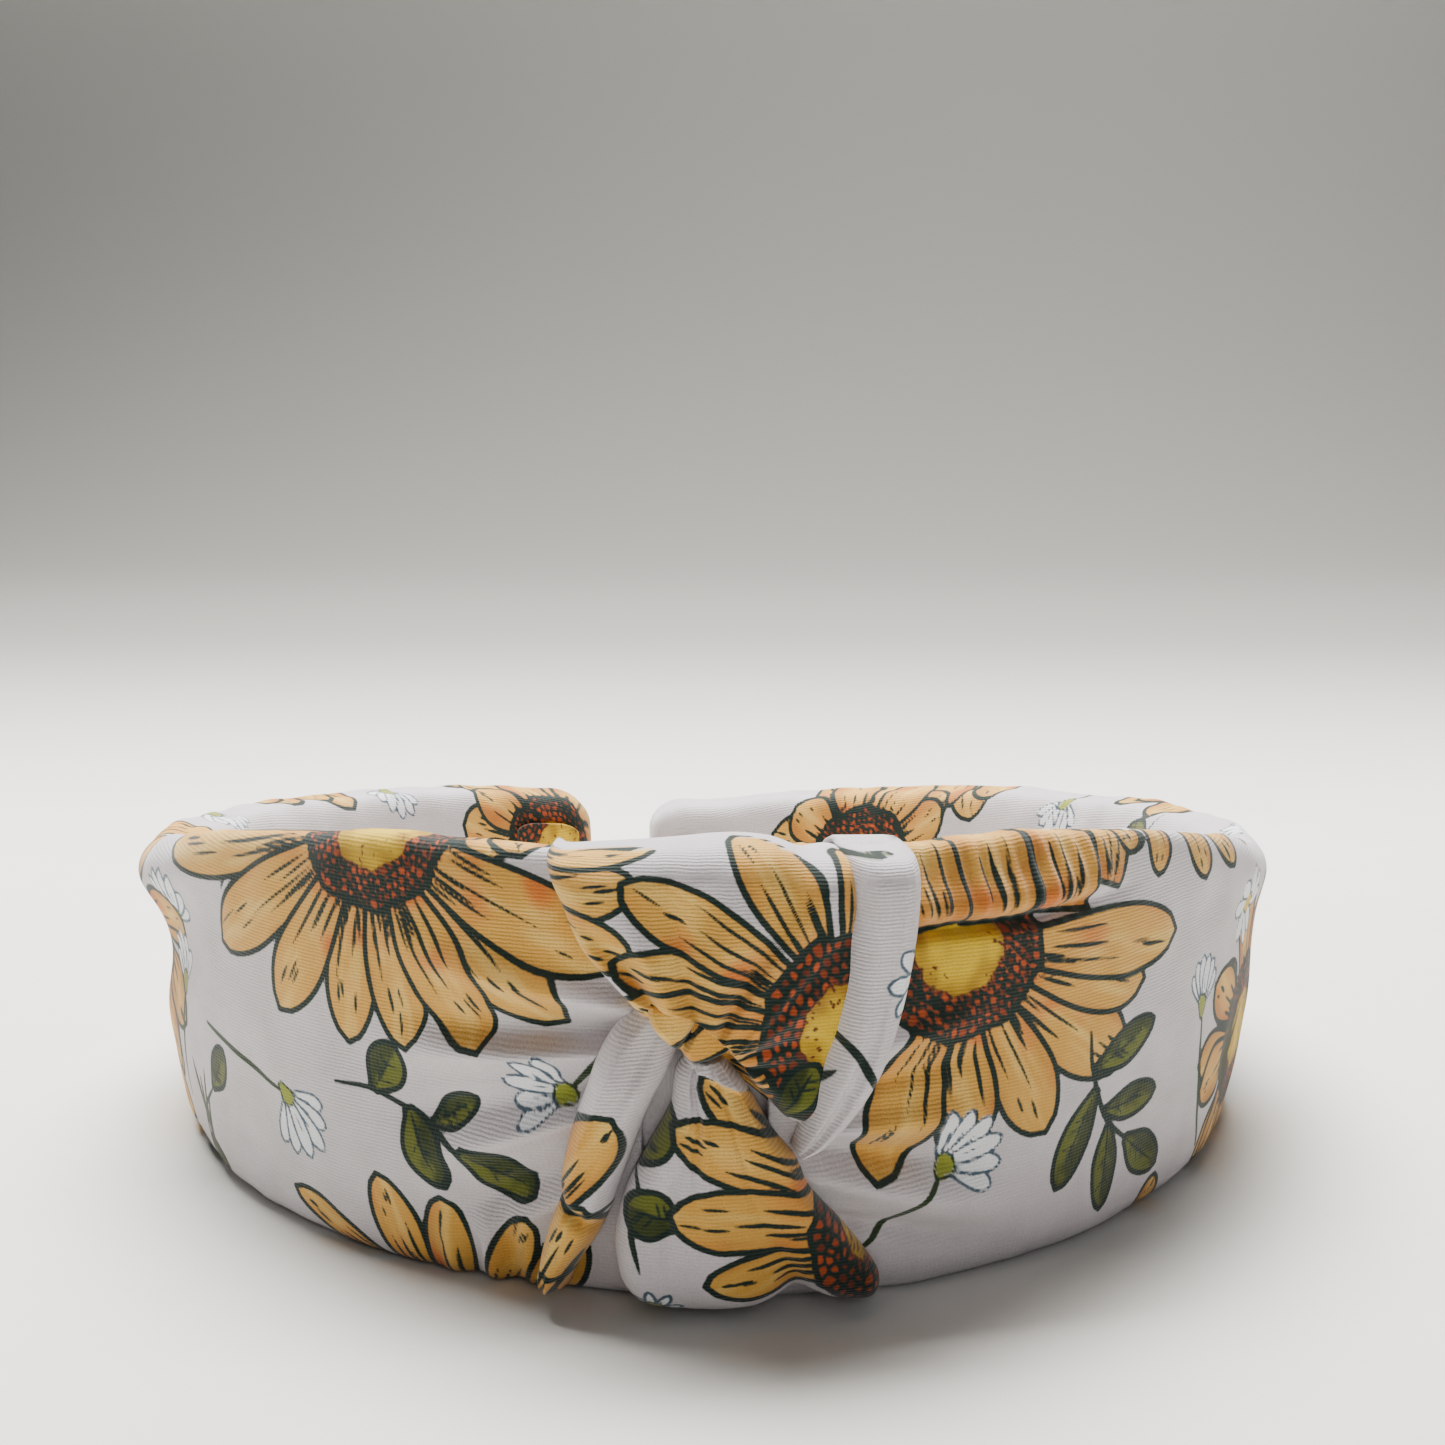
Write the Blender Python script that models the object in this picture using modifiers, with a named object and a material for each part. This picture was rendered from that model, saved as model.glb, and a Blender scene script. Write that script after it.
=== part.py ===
"""Knotted headband: a sprung hoop in a fabric sleeve, with a knot over its crown, lying on its lower edge.

The row frame has +Z up and the crown with its knot at -Y; the two ends nearly meet at +Y.
Every piece of the hoop is placed by three numbers: an angle from the crown round the hoop, a distance
outwards from the middle of the core, and a height. The hoop opens by bending at both sides of the crown,
where each arm's pieces hang from an empty that stands on the line of the bend.
"""

from math import asin, cos, hypot, pi, radians, sin

import bmesh
import bpy
from mathutils import Matrix, Vector

# Plan of the hoop: two half ellipses through the middle of the core.
HOOP_HALF_WIDTH = 0.0665
HOOP_FRONT_DEPTH = 0.0770
HOOP_BACK_DEPTH = 0.0700
LEFT_END_ANGLE = radians(162.5)
RIGHT_END_ANGLE = radians(188.5)
HOOP_CENTRE_Y = 0.0070

# Height of the covered band at the crown, the widest point and the ends, and how far its top leans out.
CROWN_HEIGHT = 0.0515
SIDE_HEIGHT = 0.0355
END_HEIGHT = 0.0225
CROWN_FLATNESS = 5.0  # power of the fall from crown to sides; more keeps the crown's height longer
SIDE_LEAN = 0.10

# Layers, from the head outwards.
CORE_THICKNESS = 0.0016
FOAM_THICKNESS = 0.0038
FABRIC_THICKNESS = 0.0008
LAYER_GAP = 0.0003
SLEEVE_EASE = 0.0008
CORE_INSET = 0.0050
CORE_END_INSET = 0.0042
CORE_CORNER = 0.0040

# The crown between the two places where the hoop bends, and the joint gap there.
BEND_OFFSET = 0.0225
BEND_GAP = 0.0022

# Seams and folded ends on the inner face.
SEAM_WIDTH = 0.0024
SEAM_THICKNESS = 0.0007
FOLD_LENGTH = 0.0130
FOLD_INSET = 0.0060
TACK_LENGTH = 0.0180
TACK_THICKNESS = 0.0009

# Knot: its outline at the crown, how far it stands proud, and the gap between its lobes.
KNOT_HALF_WIDTH = 0.0205
KNOT_HEIGHT = 0.0545
LOBE_THICKNESS = 0.0064
STRAND_THICKNESS = 0.0076
LOBE_ROUNDING = 0.0026
TUCK_THICKNESS = 0.0040
TUCK_ROUNDING = 0.0010
LOBE_GAP = 0.0005

SLEEVE_SIDES = 12
SLEEVE_POWER = 5.0
ARM_STATIONS = 22
CROWN_STATIONS = 8
SEAM_STATIONS = 22
TIP_STATIONS = 4
TIP_SHRINK = (0.93, 0.80)
KNOT_CUT_STEP = 0.0050
CURVE_STEPS = 3
WELD_DISTANCE = 0.000001
SLIVER_LENGTH = 0.0001

BLUSH_WHITE = (0.78, 0.75, 0.76)
PETAL_GOLD = (0.80, 0.48, 0.12)
FOAM_CREAM = (0.83, 0.80, 0.70)
CORE_WHITE = (0.86, 0.86, 0.84)
THREAD_WHITE = (0.90, 0.89, 0.87)

# Knot outlines, in shares of its half width (-1 to 1) and of its height (0 to 1), clockwise from the left.
UPPER_LOBE = [(-0.95, 0.94), (-0.30, 0.965), (0.30, 0.98), (0.55, 0.93), (0.56, 0.66), (0.42, 0.42),
              (0.22, 0.42), (-0.02, 0.56), (-0.36, 0.60), (-0.66, 0.76)]
RIGHT_STRAND = [(0.68, 0.94), (0.86, 0.98), (1.00, 0.92), (1.00, 0.66), (0.84, 0.42), (0.58, 0.26),
                (0.52, 0.33), (0.68, 0.60)]
LEFT_STRAND = [(-0.60, 0.54), (-0.38, 0.55), (-0.29, 0.45), (-0.46, 0.26), (-0.58, 0.07), (-0.90, 0.05),
               (-0.82, 0.28), (-0.72, 0.46)]
LOWER_LOBE = [(-0.14, 0.42), (0.08, 0.42), (0.36, 0.28), (0.64, 0.16), (0.80, 0.05), (0.30, 0.04),
              (-0.34, 0.05), (-0.44, 0.12), (-0.32, 0.25)]
CENTRE_TUCK = [(-0.27, 0.55), (-0.06, 0.535), (0.08, 0.45), (-0.17, 0.455)]


def clear_scene():
    for obj in list(bpy.data.objects):
        bpy.data.objects.remove(obj)


def material(name, colour, roughness):
    made = bpy.data.materials.new(name)
    made.use_nodes = True
    shader = made.node_tree.nodes["Principled BSDF"]
    shader.inputs["Base Color"].default_value = (*colour, 1.0)
    shader.inputs["Roughness"].default_value = roughness
    return made


def plan_point(angle, side):
    """The middle of the core in plan, angle from the crown towards side (-1 left, 1 right)."""
    depth = HOOP_FRONT_DEPTH if cos(angle) > 0 else HOOP_BACK_DEPTH
    return Vector((side * HOOP_HALF_WIDTH * sin(angle), HOOP_CENTRE_Y - depth * cos(angle), 0))


def outwards(angle, side):
    """The unit vector square to the hoop at that angle, away from the head."""
    depth = HOOP_FRONT_DEPTH if cos(angle) > 0 else HOOP_BACK_DEPTH
    normal = Vector((side * sin(angle) * depth, -cos(angle) * HOOP_HALF_WIDTH, 0))
    return normal.normalized()


def band_height(angle):
    """Full at the crown, falling smoothly through SIDE_HEIGHT at 90 degrees to END_HEIGHT at 180."""
    turn = abs(angle)
    if turn < pi / 2:
        return CROWN_HEIGHT + (SIDE_HEIGHT - CROWN_HEIGHT) * sin(turn) ** CROWN_FLATNESS
    return SIDE_HEIGHT + (END_HEIGHT - SIDE_HEIGHT) * min(turn - pi / 2, pi / 2) / (pi / 2)


def lean(angle):
    return SIDE_LEAN * sin(angle) ** 2


def place(angle, side, out, height):
    """A point of the band from its angle round the hoop, its distance outwards and its height."""
    point = plan_point(angle, side) + outwards(angle, side) * (out + lean(angle) * height)
    point.z = height
    return point


def angle_at(offset):
    """The angle at which the front of the hoop is this far to the side of its middle."""
    return asin(offset / HOOP_HALF_WIDTH)


def angle_for_length(length, at_angle):
    """The turn that covers this length along the core, near at_angle."""
    depth = HOOP_FRONT_DEPTH if cos(at_angle) > 0 else HOOP_BACK_DEPTH
    return length / hypot(HOOP_HALF_WIDTH * cos(at_angle), depth * sin(at_angle))


def end_angle(side):
    return LEFT_END_ANGLE if side < 0 else RIGHT_END_ANGLE


def bend_angle(side_of_gap):
    """Where a piece stops at the bend: the crown's pieces with -1, an arm's pieces with 1."""
    middle = angle_at(BEND_OFFSET)
    return middle + side_of_gap * angle_for_length(BEND_GAP / 2, middle)


def spread(first, last, count):
    return [first + (last - first) * i / count for i in range(count + 1)]


def new_object(name, mesh, finish, collection):
    obj = bpy.data.objects.new(name, mesh)
    mesh.materials.append(finish)
    collection.objects.link(obj)
    return obj


def thicken(obj, thickness, offset):
    wall = obj.modifiers.new("wall", "SOLIDIFY")
    wall.thickness = thickness
    wall.offset = offset
    return wall


def face_out(mesh_edit):
    """Turn the faces one way, and outwards where the mesh is closed."""
    bmesh.ops.recalc_face_normals(mesh_edit, faces=mesh_edit.faces)
    closed = all(edge.is_manifold for edge in mesh_edit.edges)
    if closed and mesh_edit.calc_volume(signed=True) < 0:
        bmesh.ops.reverse_faces(mesh_edit, faces=mesh_edit.faces)


def finish_mesh(mesh_edit, name):
    mesh = bpy.data.meshes.new(name)
    mesh_edit.to_mesh(mesh)
    mesh_edit.free()
    mesh.shade_smooth()
    mesh.set_sharp_from_angle(angle=radians(40))
    return mesh


def ribbon(name, stations, low, high, out, thickness, finish, collection):
    """A strip of one thickness that follows the hoop. stations are (angle, side) pairs, low and high give
    its edges' heights at a station, and out is the distance from the core's middle to its middle."""
    strip = bmesh.new()
    bmesh.ops.create_grid(strip, x_segments=len(stations) - 1, y_segments=2, size=1.0)
    strip.verts.ensure_lookup_table()
    for vert in strip.verts:
        column = round((vert.co.x + 1) / 2 * (len(stations) - 1))
        share = (vert.co.y + 1) / 2
        angle, side = stations[column]
        vert.co = place(angle, side, out, low(angle) + (high(angle) - low(angle)) * share)
    face_out(strip)
    obj = new_object(name, finish_mesh(strip, name), finish, collection)
    thicken(obj, thickness, 0.0)
    return obj


def core_low(angle):
    return CORE_INSET


def core_high(angle):
    return band_height(angle) - CORE_INSET


def rounded_end(side):
    """How far the core's edges draw in near its end, so that the end is a half round."""
    tip = end_angle(side) - angle_for_length(CORE_END_INSET, end_angle(side))
    round_turn = angle_for_length(CORE_CORNER, tip)

    def draw_in(angle):
        share = min(max((angle - tip + round_turn) / round_turn, 0.0), 1.0)
        return CORE_CORNER * (1 - (1 - share ** 2) ** 0.5)

    return tip, draw_in


def arm_ribbon(name, side, out, thickness, finish, collection):
    tip, draw_in = rounded_end(side)
    corner_start = tip - angle_for_length(CORE_CORNER, tip)
    turns = spread(bend_angle(1), corner_start, ARM_STATIONS) + spread(corner_start, tip, TIP_STATIONS)[1:]
    return ribbon(
        name,
        [(turn, side) for turn in turns],
        lambda angle: core_low(angle) + draw_in(angle),
        lambda angle: core_high(angle) - draw_in(angle),
        out,
        thickness,
        finish,
        collection,
    )


def crown_stations():
    half = bend_angle(-1)
    return [(abs(turn), -1 if turn < 0 else 1) for turn in spread(-half, half, CROWN_STATIONS)]


def foam_out():
    return CORE_THICKNESS / 2 + LAYER_GAP + FOAM_THICKNESS / 2


def sleeve_middle():
    """The distance from the core's middle to the middle of the sleeve's section."""
    return (FOAM_THICKNESS + LAYER_GAP) / 2


def sleeve_half_thickness():
    layers = CORE_THICKNESS + LAYER_GAP + FOAM_THICKNESS
    return layers / 2 + SLEEVE_EASE + FABRIC_THICKNESS


def inner_face_out():
    """Where the sleeve's face against the head lies, from the core's middle."""
    return sleeve_middle() - sleeve_half_thickness()


def outer_face_out():
    return sleeve_middle() + sleeve_half_thickness()


def sleeve_section(height, shrink=1.0):
    """(out, height) points of the sleeve's outside: a flattened round whose two lowest points rest flat."""
    half_thickness = sleeve_half_thickness() / abs(cos(pi / SLEEVE_SIDES)) ** (2 / SLEEVE_POWER)
    peak = abs(sin(pi / 2 - pi / SLEEVE_SIDES)) ** (2 / SLEEVE_POWER)
    points = []
    for i in range(SLEEVE_SIDES):
        turn = (i + 0.5) * 2 * pi / SLEEVE_SIDES
        across = abs(cos(turn)) ** (2 / SLEEVE_POWER) * (1 if cos(turn) > 0 else -1)
        up = abs(sin(turn)) ** (2 / SLEEVE_POWER) * (1 if sin(turn) > 0 else -1) / peak
        points.append((sleeve_middle() + half_thickness * across * shrink, height / 2 * (1 + up * shrink)))
    return points


def fabric_tube(name, stations, closed_tip, finish, collection):
    """The sleeve's outer surface, ring by ring, given its thickness inwards. stations are
    (angle, side, shrink); the far end is closed where the sleeve is folded shut."""
    tube = bmesh.new()
    rings = []
    for angle, side, shrink in stations:
        section = sleeve_section(band_height(angle), shrink)
        rings.append([tube.verts.new(place(angle, side, out, up)) for out, up in section])
    for near, far in zip(rings, rings[1:]):
        for i in range(SLEEVE_SIDES):
            j = (i + 1) % SLEEVE_SIDES
            tube.faces.new((near[i], near[j], far[j], far[i]))
    if closed_tip:
        tube.faces.new(rings[-1])
    face_out(tube)
    middle = sum((vert.co for vert in rings[0]), Vector()) / SLEEVE_SIDES
    first = rings[0][0].link_faces[0]
    if first.normal.dot(first.calc_center_median() - middle) < 0:
        bmesh.ops.reverse_faces(tube, faces=tube.faces)
    obj = new_object(name, finish_mesh(tube, name), finish, collection)
    thicken(obj, FABRIC_THICKNESS, -1.0)
    return obj


def arm_sleeve(name, side, finish, collection):
    """One arm's sleeve, open at the bend and folded shut round the core's end."""
    tip_turn = angle_for_length(CORE_END_INSET, end_angle(side))
    shut = end_angle(side) - angle_for_length(FABRIC_THICKNESS * 2, end_angle(side))
    stations = [(turn, side, 1.0) for turn in spread(bend_angle(1), shut, ARM_STATIONS)]
    stations.append((shut + tip_turn / 5, side, TIP_SHRINK[0]))
    stations.append((end_angle(side), side, TIP_SHRINK[1]))
    return fabric_tube(name, stations, True, finish, collection)


def crown_lining(finish, collection):
    stations = [(angle, side, 1.0) for angle, side in crown_stations()]
    return fabric_tube("crown_lining", stations, False, finish, collection)


def seam(name, side, finish, collection):
    """The closed seam along the middle of the inner face, from the bend to the folded end."""
    last = end_angle(side) - angle_for_length(FOLD_LENGTH + CORE_END_INSET, end_angle(side))
    out = inner_face_out() - LAYER_GAP - SEAM_THICKNESS / 2
    return ribbon(
        name,
        [(turn, side) for turn in spread(bend_angle(1), last, SEAM_STATIONS)],
        lambda angle: band_height(angle) / 2 - SEAM_WIDTH / 2,
        lambda angle: band_height(angle) / 2 + SEAM_WIDTH / 2,
        out,
        SEAM_THICKNESS,
        finish,
        collection,
    )


def end_fold(name, side, finish, collection):
    """The sleeve's raw end, turned over and fixed flat on the inner face."""
    tip = end_angle(side)
    last = tip - angle_for_length(CORE_END_INSET / 2, tip)
    first = last - angle_for_length(FOLD_LENGTH, tip)
    out = inner_face_out() - LAYER_GAP - FABRIC_THICKNESS / 2
    return ribbon(
        name,
        [(turn, side) for turn in spread(first, last, TIP_STATIONS)],
        lambda angle: FOLD_INSET,
        lambda angle: band_height(angle) - FOLD_INSET,
        out,
        FABRIC_THICKNESS,
        finish,
        collection,
    )


def tack_stitch(finish, collection):
    """The bar of thread that holds the knot to the crown, on the inner face."""
    out = inner_face_out() - LAYER_GAP - TACK_THICKNESS / 2
    half = angle_at(TACK_LENGTH / 2)
    middle = CROWN_HEIGHT / 2
    return ribbon(
        "knot_tack_stitch",
        [(abs(turn), -1 if turn < 0 else 1) for turn in spread(-half, half, TIP_STATIONS)],
        lambda angle: middle - TACK_THICKNESS,
        lambda angle: middle + TACK_THICKNESS,
        out,
        TACK_THICKNESS,
        finish,
        collection,
    )


def flat_outline(name, outline, thickness, rounding):
    """A filled curve through the outline with rounded rims, as a mesh lying in XY at the knot's size."""
    curve = bpy.data.curves.new(name, "CURVE")
    curve.dimensions = "2D"
    curve.fill_mode = "BOTH"
    curve.resolution_u = CURVE_STEPS
    curve.bevel_depth = rounding
    curve.bevel_resolution = 1
    curve.extrude = thickness / 2 - rounding
    curve.offset = -rounding - LOBE_GAP / 2
    spline = curve.splines.new("BEZIER")
    spline.bezier_points.add(len(outline) - 1)
    spline.use_cyclic_u = True
    for point, (across, up) in zip(spline.bezier_points, outline):
        point.co = (across * KNOT_HALF_WIDTH, up * KNOT_HEIGHT, 0)
        point.handle_left_type = point.handle_right_type = "AUTO"
    holder = bpy.data.objects.new(name + "_outline", curve)
    bpy.context.scene.collection.objects.link(holder)
    bpy.context.view_layer.update()
    graph = bpy.context.evaluated_depsgraph_get()
    mesh = bpy.data.meshes.new_from_object(holder.evaluated_get(graph))
    bpy.data.objects.remove(holder)
    return mesh


def knot_lobe(name, outline, thickness, rounding, finish, collection):
    """One lobe: its outline cut into upright strips and laid on the crown, so that it follows the hoop.
    No lobe reaches below the hoop's lower edge."""
    mesh = flat_outline(name, outline, thickness, rounding)
    lobe = bmesh.new()
    lobe.from_mesh(mesh)
    bpy.data.meshes.remove(mesh)
    bmesh.ops.remove_doubles(lobe, verts=lobe.verts, dist=WELD_DISTANCE)
    low = min(vert.co.y for vert in lobe.verts)
    bmesh.ops.translate(lobe, verts=lobe.verts, vec=(0, max(0.0, -low), 0))
    cuts = int(KNOT_HALF_WIDTH / KNOT_CUT_STEP) + 1
    for i in range(-cuts, cuts + 1):
        everything = list(lobe.verts) + list(lobe.edges) + list(lobe.faces)
        bmesh.ops.bisect_plane(
            lobe, geom=everything, plane_co=(i * KNOT_CUT_STEP, 0, 0), plane_no=(1, 0, 0)
        )
    bmesh.ops.dissolve_degenerate(lobe, dist=SLIVER_LENGTH, edges=lobe.edges)
    bmesh.ops.triangulate(lobe, faces=lobe.faces)
    middle = outer_face_out() + LAYER_GAP + thickness / 2
    for vert in lobe.verts:
        across, up, out = vert.co
        side = -1 if across < 0 else 1
        vert.co = place(angle_at(abs(across)), side, middle + out, up)
    face_out(lobe)
    return new_object(name, finish_mesh(lobe, name), finish, collection)


def hang(obj, pivot):
    """Give the object its pivot's place as its origin, without moving its shape."""
    obj.data.transform(Matrix.Translation(-pivot.location))
    obj.parent = pivot


def bend_pivot(name, side, collection):
    """The upright line that an arm turns about, through the middle of the core."""
    pivot = bpy.data.objects.new(name, None)
    pivot.location = place(angle_at(BEND_OFFSET), side, 0.0, 0.0)
    collection.objects.link(pivot)
    return pivot


def arm(word, side, core, foam, fabric, thread, collection):
    pivot = bend_pivot(f"{word}_flex_axis", side, collection)
    pieces = [
        arm_ribbon(f"core_{word}_arm", side, 0.0, CORE_THICKNESS, core, collection),
        arm_ribbon(f"foam_{word}", side, foam_out(), FOAM_THICKNESS, foam, collection),
        arm_sleeve(f"sleeve_{word}", side, fabric, collection),
        seam(f"seam_{word}", side, thread, collection),
        end_fold(f"end_fold_{word}", side, fabric, collection),
    ]
    for piece in pieces:
        hang(piece, pivot)


def build():
    clear_scene()
    collection = bpy.data.collections.new("knotted_headband")
    bpy.context.scene.collection.children.link(collection)
    print_fabric = material("printed_knit", BLUSH_WHITE, 0.85)
    knot_fabric = material("knot_knit", PETAL_GOLD, 0.85)
    foam = material("foam", FOAM_CREAM, 0.95)
    core = material("core_plastic", CORE_WHITE, 0.45)
    thread = material("thread", THREAD_WHITE, 0.8)

    ribbon("core_crown", crown_stations(), core_low, core_high, 0.0, CORE_THICKNESS, core, collection)
    ribbon("foam_crown", crown_stations(), core_low, core_high, foam_out(), FOAM_THICKNESS, foam, collection)
    crown_lining(print_fabric, collection)
    tack_stitch(thread, collection)
    arm("left", -1, core, foam, print_fabric, thread, collection)
    arm("right", 1, core, foam, print_fabric, thread, collection)
    for name, outline, thickness, rounding, finish in (
        ("knot_upper_lobe", UPPER_LOBE, LOBE_THICKNESS, LOBE_ROUNDING, knot_fabric),
        ("knot_lower_lobe", LOWER_LOBE, LOBE_THICKNESS, LOBE_ROUNDING, knot_fabric),
        ("knot_right_strand", RIGHT_STRAND, STRAND_THICKNESS, LOBE_ROUNDING, print_fabric),
        ("knot_left_strand", LEFT_STRAND, STRAND_THICKNESS, LOBE_ROUNDING, print_fabric),
        ("knot_centre_tuck", CENTRE_TUCK, TUCK_THICKNESS, TUCK_ROUNDING, knot_fabric),
    ):
        knot_lobe(name, outline, thickness, rounding, finish, collection)


build()
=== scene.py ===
"""Knotted headband: a padded hoop in printed double-brushed knit, with a twisted knot over the crown.

Lengths are in millimetres until a mesh is made. Three numbers place every point: the distance round the
hoop from the crown's middle, measured on the band's outer face with the left arm negative; the distance
outwards from the middle of the hoop's core; and the height over the surface that the band lies on. The
print is drawn in the same two fabric coordinates, so that a motif runs over a rim as it does on cloth.
"""

import bpy
import numpy as np
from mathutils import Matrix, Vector

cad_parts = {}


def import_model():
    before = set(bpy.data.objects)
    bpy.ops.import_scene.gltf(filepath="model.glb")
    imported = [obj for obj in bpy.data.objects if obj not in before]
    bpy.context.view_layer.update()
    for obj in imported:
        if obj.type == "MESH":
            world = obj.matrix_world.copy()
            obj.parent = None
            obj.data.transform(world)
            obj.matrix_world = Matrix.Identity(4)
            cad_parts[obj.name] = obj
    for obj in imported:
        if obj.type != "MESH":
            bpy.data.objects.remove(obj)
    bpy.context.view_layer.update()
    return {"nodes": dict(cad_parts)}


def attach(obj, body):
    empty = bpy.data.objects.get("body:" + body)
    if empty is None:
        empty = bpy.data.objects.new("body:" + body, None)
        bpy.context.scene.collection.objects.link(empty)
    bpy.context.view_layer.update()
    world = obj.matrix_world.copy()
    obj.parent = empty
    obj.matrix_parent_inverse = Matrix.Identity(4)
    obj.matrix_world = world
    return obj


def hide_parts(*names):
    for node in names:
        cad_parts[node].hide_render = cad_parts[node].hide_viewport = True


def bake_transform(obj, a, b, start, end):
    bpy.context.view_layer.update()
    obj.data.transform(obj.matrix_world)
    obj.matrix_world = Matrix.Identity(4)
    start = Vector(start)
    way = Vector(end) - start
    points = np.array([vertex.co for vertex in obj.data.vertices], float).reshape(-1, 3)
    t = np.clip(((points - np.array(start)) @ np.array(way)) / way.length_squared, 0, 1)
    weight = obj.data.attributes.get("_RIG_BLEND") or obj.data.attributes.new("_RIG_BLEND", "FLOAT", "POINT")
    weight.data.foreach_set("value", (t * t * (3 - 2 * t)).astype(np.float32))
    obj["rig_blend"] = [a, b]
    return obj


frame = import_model()

MM = 0.001

# Plan of the hoop's core: two half ellipses.
HALF_WIDTH = 66.5
FRONT_DEPTH = 77.0
BACK_DEPTH = 70.0
CENTRE_Y = 7.0
LEFT_END = np.radians(-162.5)
RIGHT_END = np.radians(188.5)
LEAN = 0.10

# The covered band: its height at the crown, the widest point and the ends, and its section.
CROWN_HEIGHT = 51.5
CROWN_FLATNESS = 5.0
SIDE_HEIGHT = 35.5
END_HEIGHT = 22.5
BAND_MIDDLE = 2.05
BAND_THICKNESS = 9.2
BAND_FACE = BAND_MIDDLE + BAND_THICKNESS / 2
BAND_INNER = BAND_MIDDLE - BAND_THICKNESS / 2

# The deepest that a fold goes into the padding.
VALLEY = 1.35

# Where the sleeves start under the knot, and where they bend with the arms.
SLEEVE_START = 7.0
BEND_START = 17.0
BEND_END = 33.0

# The strip wrapped round the crown under the knot.
WRAP_LEFT = -17.5
WRAP_RIGHT = 20.5

# The sleeve's closing seam, and its ends, turned over and stuck down on the inner face.
SEAM_HALF_WIDTH = 0.75
SEAM_THICKNESS = 1.5
SEAM_DEPTH = 0.5
SEAM_START = 20.0
SEAM_STOP_SHORT = 15.0
END_FOLD_MARGIN = 4.6

# The print: reach of a whole sunflower, and the pitch of the pattern.
FLOWER_REACH = 20.5
PATTERN_PITCH = 47.0

# Backdrop: level floor, quarter circle, upright wall.
SWEEP_HALF_WIDTH = 4000.0
SWEEP_START = 520.0
SWEEP_RADIUS = 260.0
SWEEP_TOP = 1500.0

# Lights, in watts.
SOFTBOX_POWER = 12.5
SOFTBOX_SPREAD = 88
FILL_POWER = 0.4
ROOM_STRENGTH = 0.15

# Camera.
CAMERA_PLACE = (2.0, -351.0, 120.0)
CAMERA_PITCH = np.radians(79.0)
CAMERA_LENS = 64.8


def srgb(red, green, blue):
    """Linear colour of an 8-bit display colour."""
    value = np.array([red, green, blue]) / 255.0
    return np.where(value <= 0.04045, value / 12.92, ((value + 0.055) / 1.055) ** 2.4)


WHITE = srgb(214, 208, 211)
GOLD = srgb(222, 168, 76)
PALE_GOLD = srgb(238, 198, 108)
ORANGE = srgb(214, 118, 44)
PETAL_BROWN = srgb(160, 92, 34)
DISC_YELLOW = srgb(230, 192, 46)
DISC_OCHRE = srgb(164, 124, 24)
RING_BROWN = srgb(96, 40, 20)
RING_ORANGE = srgb(196, 84, 34)
OLIVE = srgb(98, 104, 32)
DARK_OLIVE = srgb(52, 62, 22)
CALYX = srgb(150, 158, 52)
PETAL_WHITE = srgb(246, 248, 252)
INK = srgb(20, 40, 34)
SLATE = srgb(70, 92, 108)
STEM = srgb(40, 58, 30)


# ---------------------------------------------------------------- the hoop

def plan(theta, out, height):
    """World x and y: x = W sin, y = C - D cos along the ellipse, plus out along its normal. The band leans
    outwards by LEAN of its height at the sides and not at all at the crown."""
    depth = np.where(np.cos(theta) > 0, FRONT_DEPTH, BACK_DEPTH)
    normal_x = np.sin(theta) * depth
    normal_y = -np.cos(theta) * HALF_WIDTH
    length = np.hypot(normal_x, normal_y)
    reach = out + LEAN * np.sin(theta) ** 2 * height
    x = HALF_WIDTH * np.sin(theta) + reach * normal_x / length
    y = CENTRE_Y - depth * np.cos(theta) + reach * normal_y / length
    return x, y


ANGLES = np.linspace(-1.1 * np.pi, 1.1 * np.pi, 8001)
FACE_X, FACE_Y = plan(ANGLES, BAND_FACE, 0.0)
FACE_LENGTH = np.concatenate([[0.0], np.cumsum(np.hypot(np.diff(FACE_X), np.diff(FACE_Y)))])
FACE_LENGTH -= np.interp(0.0, ANGLES, FACE_LENGTH)


def world(along, out, height):
    """Points in metres from distances along the hoop, outwards and up."""
    theta = np.interp(along, FACE_LENGTH, ANGLES)
    x, y = plan(theta, out, height)
    return np.stack([x, y, height + 0.0 * x], axis=-1) * MM


def along_of(theta):
    return float(np.interp(theta, ANGLES, FACE_LENGTH))


def band_height(along):
    """Full round the crown, falling by a power of the sine to the widest point, then straight to the ends."""
    turn = np.abs(np.interp(along, FACE_LENGTH, ANGLES))
    front = CROWN_HEIGHT + (SIDE_HEIGHT - CROWN_HEIGHT) * np.sin(turn) ** CROWN_FLATNESS
    fall = np.minimum(turn - np.pi / 2, np.pi / 2) / (np.pi / 2)
    return np.where(turn < np.pi / 2, front, SIDE_HEIGHT + (END_HEIGHT - SIDE_HEIGHT) * fall)


# ---------------------------------------------------------------- shape helpers

def smooth(value):
    """0 to 1 with level ends."""
    value = np.clip(value, 0.0, 1.0)
    return value * value * (3 - 2 * value)


def rounded(distance, radius):
    """A quarter circle: 0 at an edge, 1 from radius inwards."""
    share = np.clip(distance / radius, 0.0, 1.0)
    return np.sqrt(1 - (1 - share) ** 2)


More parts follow.
